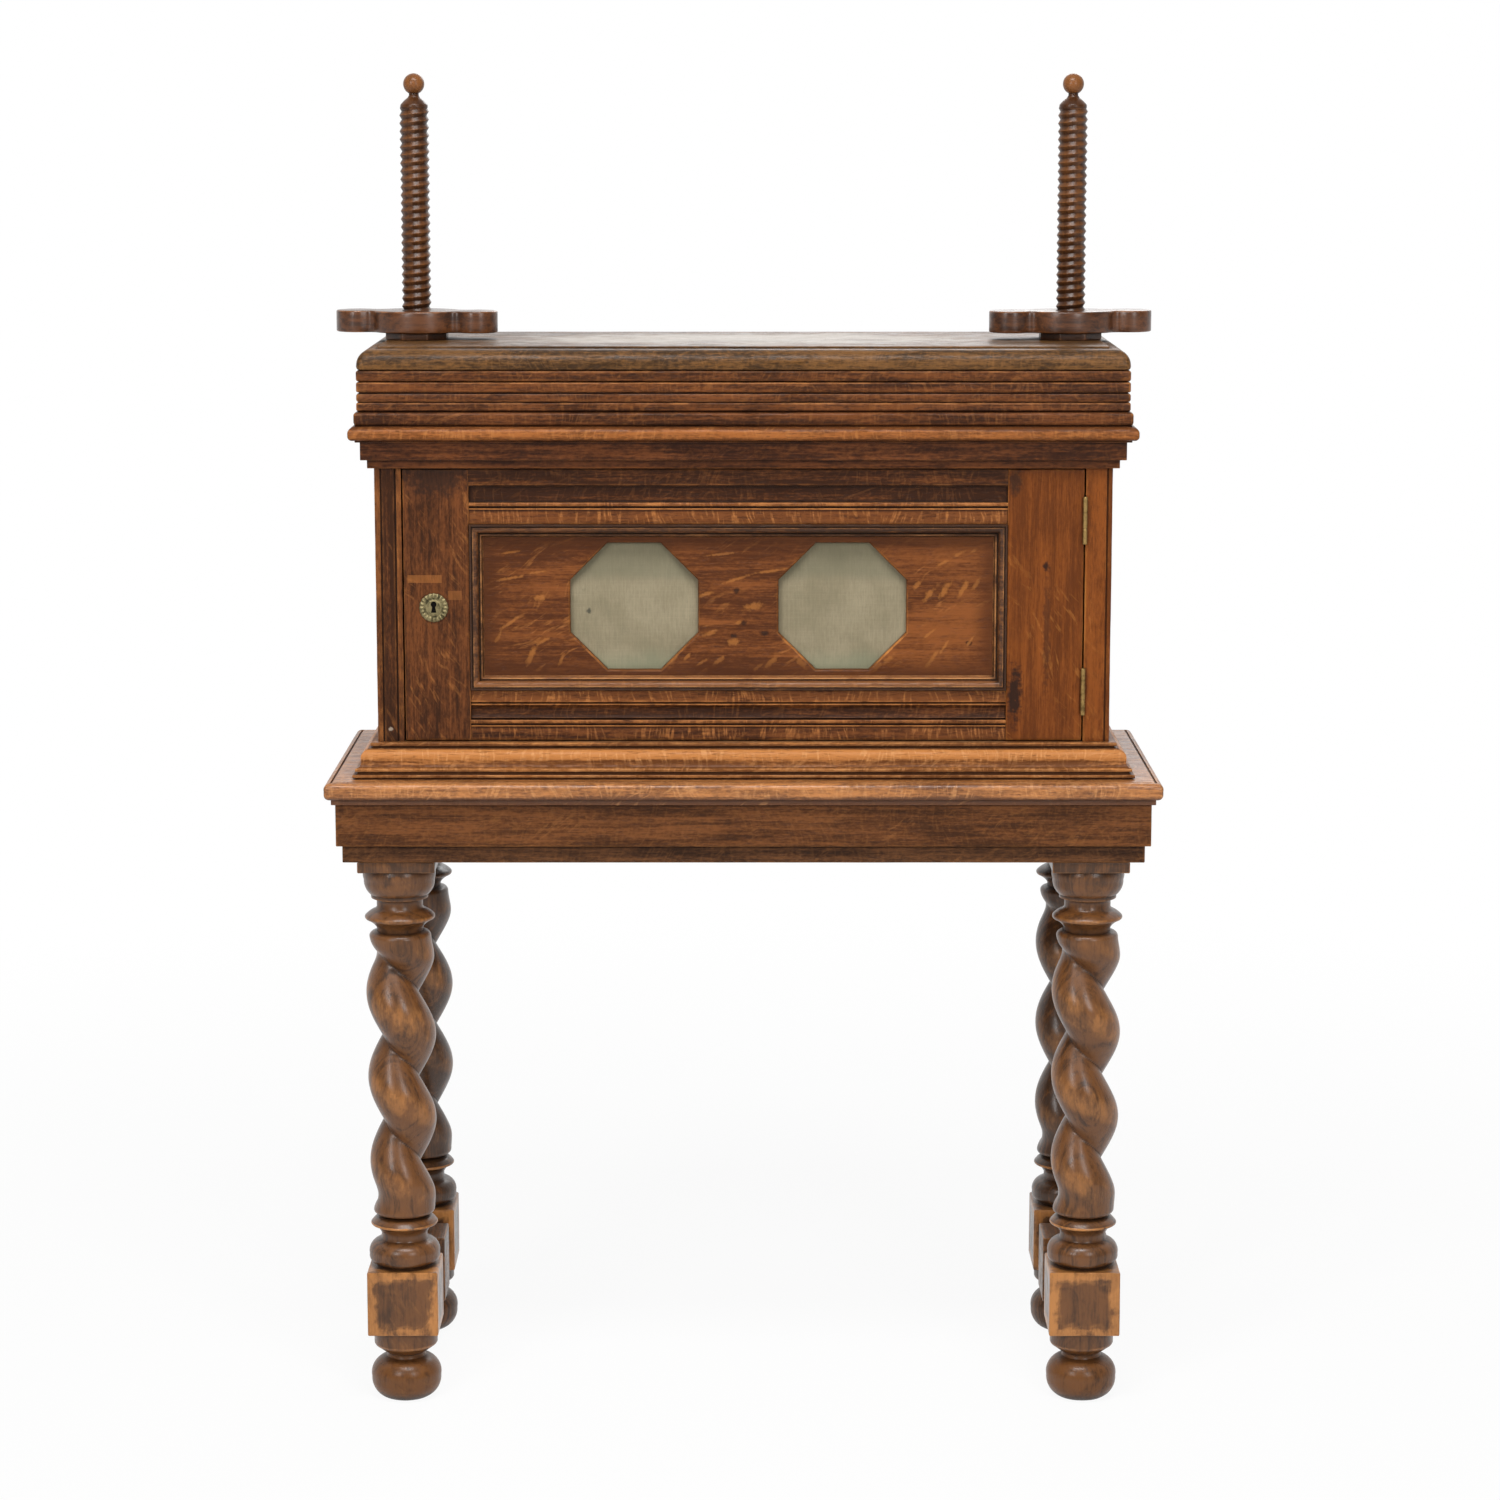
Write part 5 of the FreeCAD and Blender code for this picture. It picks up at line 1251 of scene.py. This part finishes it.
def build_escutcheon():
    """A cast rosette: a fluted border, a sunk ring and a plain boss round the keyhole."""
    low, high = box_mm("escutcheon")
    cx, _, cz = (low + high) / 2
    radius = (high[0] - low[0]) / 2
    back, depth = high[1], high[1] - low[1]
    angle = around(160)
    between = 0.5 - 0.5 * np.cos(PETALS * angle)
    hole = np.array([keyhole_reach(a) for a in angle])

    def ring(reach, rise):
        aside, up = cx + reach * np.cos(angle), cz + reach * np.sin(angle)
        return np.stack([aside, back - depth * rise * np.ones(len(angle)), up], axis=1)

    rings = []
    for share, rise, cut in ROSETTE:
        scallop = 1 - 0.035 * between * smooth_step(0.85, 1.0, share)
        rings.append(ring(radius * share * scallop, rise - cut * between))
    rings += [ring(hole, rise) for rise in (0.82, 0.7, 0.0)]
    shell = Shell()
    shell.rings(rings, caps=False)
    finish_piece(
        "escutcheon_brass", shell, BRASS_GREEN, "escutcheon", slot="brass",
        wobble=0.03, chip=0, seed=104, angle=60,
    )
    # A near-black plug in the keyhole behind the plate: painted shade
    dark = Shell()
    dark.rings([ring(hole, rise) for rise in (0.16, 0.04)])
    finish_piece("keyhole_dark", dark, KEYHOLE_SHADE, body="door", slot="iron", wobble=0, chip=0, seed=105)


def build_lock():
    for node, axis, material, slot in (
        ("lock_bolt", "x", BRASS, "brass"), ("lock_strike", "z", BRASS, "brass"),
        ("lock_case", "z", IRON, "iron"),
    ):
        shell = Shell()
        bar(shell, axis, *box_mm(node), edge=0.6, round_end=0.6)
        finish_piece(f"{node}_{slot}", shell, material, node, slot=slot, wobble=0.05, chip=0.1, seed=110)


# Press

SCREW_PLACES = [tuple(middle_of(f"washer_{side}")[:2]) for side in SIDES]
# A pale dusty patch over the middle of the top board: painted reflection of the white backdrop
PAINTED_GLARE = ((0, 0, box_mm("press_board_top")[1][2]), (330.0, 118.0, 2.0), (0.50, 0.45, 0.385), 0.6, False)
STACK_OAK = {"holes": SCREW_PLACES, "fleck": 0.25, "tick": 0.2, "wear": 0.7}


def build_boards():
    oak_board(
        "press_bed", "board", 120, corner=3.0,
        upper=((6.4, 0), (5.2, -0.2), (3.0, -2.4, 3.5, -0.9)),
        lower=(
            (3.0, 16.7), (4.2, 15.3), (5.4, 14.5), (3.4, 14.1), (0, 10.5, 0.9, 13.1), (0, 3.6), (1.0, 1.0),
            (2.6, 0),
        ),
        **STACK_OAK,
    )
    oak_board(
        "press_board_lower", "board", 121,
        upper=((3.6, 0), (2.2, -0.2), (0, -2.2, 0.5, -0.8)),
        lower=(
            (0, 11.6), (0.9, 10.5), (2.8, 10.1), (2.8, 9.1), (0.9, 8.6), (0, 7.2), (0, 2.8), (0.7, 1.0),
            (2.6, 0.2), (4.2, 0),
        ),
        **STACK_OAK,
    )
    oak_board(
        "press_board_middle", "board", 122, shift=-0.04,
        upper=((3.8, 0), (2.4, -0.2), (0, -2.6, 0.6, -0.9)),
        lower=((0, 2.8), (2.4, 0.6, 0.6, 1.6), (4.2, 0)),
        **STACK_OAK,
    )
    oak_board(
        "press_board_top", "top", 123, steps=12, corner=6.0, holes=SCREW_PLACES,
        upper=((22.4, 0), (21.4, -0.3), (21.0, -2.8), (19.4, -3.0), (18.6, -2.5)),
        lower=((0.2, 6.5, 5.4, 17.4), (0, 3.6), (0.8, 1.2), (2.8, 0)),
        fleck=0.3, tick=0.2, wear=0.4, gloss=0.16, coat=0.03, mottle=0.6, marks=(PAINTED_GLARE,),
    )


THREAD_PITCH, THREAD_RADIUS, ROOT_RADIUS = 8.4, 15.75, 13.3
SHOULDER_FOOT, THREAD_FOOT, THREAD_TOP = 1057.0, 1064.0, 1386.0
LEVELS_PER_TURN = 16
SHANK_RADIUS = 12.0
PEG_RADIUS = 4.0
BALL_RADIUS = 11.2
# The cone above the thread, from the thread's top, and the ball with its neck, from the ball's middle
SCREW_CONE = ((0, -6), (13.4, -5), (14.1, 0.5, 14.6, -2.0), (12.9, 1.8), (7.0, 7.2, 9.4, 5.4), (5.3, 9.6))
SCREW_BALL = ((5.2, -9.9), (BALL_RADIUS, 0, 9.4, -6.1), (0.0, BALL_RADIUS, 7.9, 7.94))


def thread(shell, centre):
    angle = around(72)
    rings = []
    for z in np.arange(THREAD_FOOT, THREAD_TOP, THREAD_PITCH / LEVELS_PER_TURN):
        share = ((z - THREAD_FOOT) / THREAD_PITCH - angle / FULL_TURN) % 1.0
        crest = 2 * np.minimum(share, 1 - share)
        fade = smooth_step(0, 5, THREAD_TOP - z)
        height = (1 - fade) * 0.3 + fade * crest
        rings.append(round_ring(centre, ROOT_RADIUS + (THREAD_RADIUS - ROOT_RADIUS) * height, z, len(angle)))
    shell.rings(rings)


def build_screws():
    for index, side in enumerate(SIDES):
        node = f"screw_{side}"
        low, high = box_mm(node)
        centre = np.append((low[:2] + high[:2]) / 2, 0)
        foot, ball = low[2], high[2] - BALL_RADIUS
        shell = Shell()
        thread(shell, centre)
        head = path(*moved(SCREW_CONE, 0, THREAD_TOP), *moved(SCREW_BALL, 0, ball), steps=10)
        turned(shell, head, centre, rub=1.8)
        shank = [
            (0, foot), (SHANK_RADIUS - 0.6, foot), (SHANK_RADIUS, foot + 0.8), (SHANK_RADIUS, SHOULDER_FOOT),
            (THREAD_RADIUS, SHOULDER_FOOT), (THREAD_RADIUS, THREAD_FOOT + 0.5), (0, THREAD_FOOT + 1),
        ]
        turned(shell, shank, centre)

        def tint(place):
            """Painted shade in the thread's groove and a lighter crest; a dark cone under a light ball."""
            reach = np.hypot(place[:, 0] - centre[0], place[:, 1] - centre[1])
            groove = np.interp(reach, (ROOT_RADIUS, ROOT_RADIUS + 1.0, THREAD_RADIUS), (-0.14, -0.04, 0.06))
            top = np.where(place[:, 2] < ball - 9.0, -0.18, 0.08)
            return np.where(place[:, 2] < THREAD_TOP - 4.0, groove, top)

        oak_piece(
            node, shell, "screw", "z", 130 + index, wobble=0.1, chip=0.15, tint=tint, grime=0.3,
            fleck=0.1, wear=0.5, coat=0.25, mottle=0.06, pores=0.0, relief=0.1,
        )
    low, high = box_mm("screw_pegs")
    shell = Shell()
    for x, _ in SCREW_PLACES:
        centre = (x, 0, (low[2] + high[2]) / 2)
        rod(shell, centre, PEG_RADIUS, low[1], high[1], edge=0.8, step=8, count=32, axis="y")
    oak_piece("screw_pegs", shell, "inside", "y", 133, fleck=0.1)


def flat_piece(outline, node, edge, place, bore, turn=0.0):
    """A flat sawn shape with eased edges and a round hole."""
    low, high = box_mm(node)
    z0, z1 = low[2], high[2]
    c, s = math.cos(turn), math.sin(turn)
    curve = [(edge * (1 - math.sin(a)), edge * (1 - math.cos(a))) for a in np.linspace(0, math.pi / 2, 5)]
    levels = [(drawn, z0 + rise) for drawn, rise in curve]
    levels += [(0, z) for z in np.linspace(z0 + edge, z1 - edge, max(3, int((z1 - z0) / 4)))[1:-1]]
    levels += [(drawn, z1 - rise) for drawn, rise in reversed(curve)]
    rings = []
    for drawn, z in levels:
        x, y = inset(outline, drawn).T
        rings.append(at_height(np.column_stack([c * x - s * y + place[0], s * x + c * y + place[1]]), z))
    shell = Shell()
    pierced(shell, rings, [place], bore)
    return shell


# Plan of a wing nut: a round hub, two lobes and hollow waists between them
HUB_RADIUS, HUB_REACH = 52.7, 40.0
LOBE_RADIUS, LOBE_REACH = 23.0, 88.0
WAIST_RADIUS = 9.0
NUT_TURN = {"left": -9.0, "right": 7.0}
NUT_BORE, WASHER_BORE = 15.9, 16.8
WASHER_HALF = 32.5


def circle_part(centre, start, end, count):
    """Points on a circle from one point of it to another, the short way."""
    sweep = cmath.phase((end - centre) / (start - centre))
    return [centre + (start - centre) * cmath.exp(1j * sweep * k / (count - 1)) for k in range(count)]


def nut_outline():
    """A quarter of the plan, from a lobe's tip over its hollow waist to the hub, and its three mirrors."""
    hub, lobe = complex(0, HUB_REACH - HUB_RADIUS), complex(LOBE_REACH - LOBE_RADIUS, 0)
    to_hub, to_lobe = HUB_RADIUS + WAIST_RADIUS, LOBE_RADIUS + WAIST_RADIUS
    apart = abs(lobe - hub)
    along = (to_hub**2 - to_lobe**2 + apart**2) / (2 * apart)
    waist = hub + (lobe - hub) / apart * complex(along, math.sqrt(to_hub**2 - along**2))
    lobe_end = lobe + (waist - lobe) * LOBE_RADIUS / to_lobe
    hub_end = hub + (waist - hub) * HUB_RADIUS / to_hub
    points = circle_part(lobe, complex(LOBE_REACH, 0), lobe_end, 16)
    points += circle_part(waist, lobe_end, hub_end, 8)[1:]
    points += circle_part(hub, hub_end, complex(0, HUB_REACH), 14)[1:]
    quarter = [(point.real, point.imag) for point in points]
    outline = quarter + [(-x, y) for x, y in reversed(quarter[:-1])]
    return outline + [(-x, -y) for x, y in outline[1:-1]]


def build_nuts():
    washer_outline = eased(octagon(WASHER_HALF), 2.5, 5)
    for index, (side, place) in enumerate(zip(SIDES, SCREW_PLACES)):
        node = f"nut_{side}"
        shell = flat_piece(nut_outline(), node, 1.8, place, NUT_BORE, math.radians(NUT_TURN[side]))
        oak_piece(
            node, shell, "nut", "x", 140 + index, wobble=0.15, chip=0.4,
            fleck=0.15, wear=0.6, gloss=0.2, coat=0.6, mottle=0.06, pores=0.08, relief=0.12,
        )
        node = f"washer_{side}"
        shell = flat_piece(washer_outline, node, 0.8, place, WASHER_BORE)
        # Full wear lights the washer's facet edges: partly wear, partly painted highlight
        oak_piece(
            node, shell, "nut", "x", 144 + index, wobble=0.1, chip=0.3,
            fleck=0.1, wear=1.0, gloss=0.2, coat=0.5, mottle=0.1,
        )


# Stage, light and camera, in metres

FLOOR_REACH = 30.0
WHITE = (1, 1, 1)
WORLD_FILL = 0.16
# Lamps as (name, place, aim, size, power)
LAMPS = (
    ("key_left", (-1.7, -3.0, 2.1), (0, 0, 0.7), (0.7, 1.6), 42.0),
    ("key_right", (1.5, -3.2, 2.0), (0, 0, 0.7), (0.7, 1.6), 36.0),
    ("overhead", (-0.1, -1.6, 3.5), (0, 0, 0.8), (1.8, 0.7), 74.0),
    ("rear", (0.6, 3.0, 2.6), (0, 0, 0.8), (2.0, 1.2), 26.0),
)
# Camera worked out from the stand's top and the cabinet's ledge
CAMERA_PLACE = (0.0068, -4.25, 1.407)
CAMERA_PITCH = 9.56
CAMERA_LENS = 94.8


def background_shown(n, mirrored=1.0):
    """How far a ray shows the background itself: seen, through glass, or in a reflection of some strength."""
    light = n.add("LightPath").outputs
    direct = n.most(light["Is Camera Ray"], light["Is Transmission Ray"])
    return n.most(direct, n.times(light["Is Glossy Ray"], mirrored))


def build_stage():
    mesh = bpy.data.meshes.new("floor")
    corners = rectangle((-FLOOR_REACH, -FLOOR_REACH), (FLOOR_REACH, FLOOR_REACH))
    mesh.from_pydata([(x, y, 0) for x, y in corners], [], [(0, 1, 2, 3)])
    material, n, shader = start_material("floor_white")
    n.supply(shader, {"Base Color": (0.86, 0.86, 0.855), "Roughness": 0.9, "Specular IOR Level": 0.0})
    glow = n.add("Emission", {"Color": WHITE})
    bright = n.ramp(n.length(n.place()), 0.7, 2.6, 0.93, 1.0)
    amount = n.times(background_shown(n), bright)
    mix = n.add("MixShader", {0: amount, 1: shader.outputs[0], 2: glow.outputs[0]})
    n.supply(material.node_tree.nodes["Material Output"], {"Surface": mix.outputs[0]})
    mesh.materials.append(material)
    add_object("floor", mesh)


def build_light():
    world = bpy.data.worlds.new("studio")
    bpy.context.scene.world = world
    world.use_nodes = True
    n = Nodes(world.node_tree)
    # Reflections show the white backdrop behind the press and the dimmer room before it
    room = n.ramp(n.split(n.place("Generated"))["Y"], -0.5, 0.6, 0.22, 1.0)
    strength = n.most(background_shown(n, room), WORLD_FILL)
    n.supply(world.node_tree.nodes["Background"], {"Color": WHITE, "Strength": strength})
    for name, place, aim, size, power in LAMPS:
        lamp = bpy.data.lights.new(name, "AREA")
        lamp.shape = "RECTANGLE"
        lamp.size, lamp.size_y = size
        lamp.energy = power
        holder = add_object(name, lamp)
        holder.location = place
        x, y, z = np.array(aim) - np.array(place)
        holder.rotation_euler = (math.atan2(math.hypot(x, y), -z), 0, math.atan2(y, x) - math.pi / 2)


def build_camera():
    camera = bpy.data.cameras.new("camera")
    camera.sensor_width = 36.0
    camera.lens = CAMERA_LENS
    camera.clip_end = 200.0
    holder = add_object("camera", camera)
    holder.location = CAMERA_PLACE
    holder.rotation_euler = (math.radians(90 - CAMERA_PITCH), 0, 0)
    bpy.context.scene.camera = holder
    bpy.context.scene.view_settings.view_transform = "Standard"


for build in (
    build_stand_top, build_aprons, build_legs, build_feet, build_stretchers,
    build_plinth, build_frieze, build_cornice, build_carcass,
    build_door_frame, build_panel_moulding, build_panel, build_cloths,
    build_hinges, build_escutcheon, build_lock,
    build_boards, build_screws, build_nuts,
    build_stage, build_light, build_camera,
):
    build()
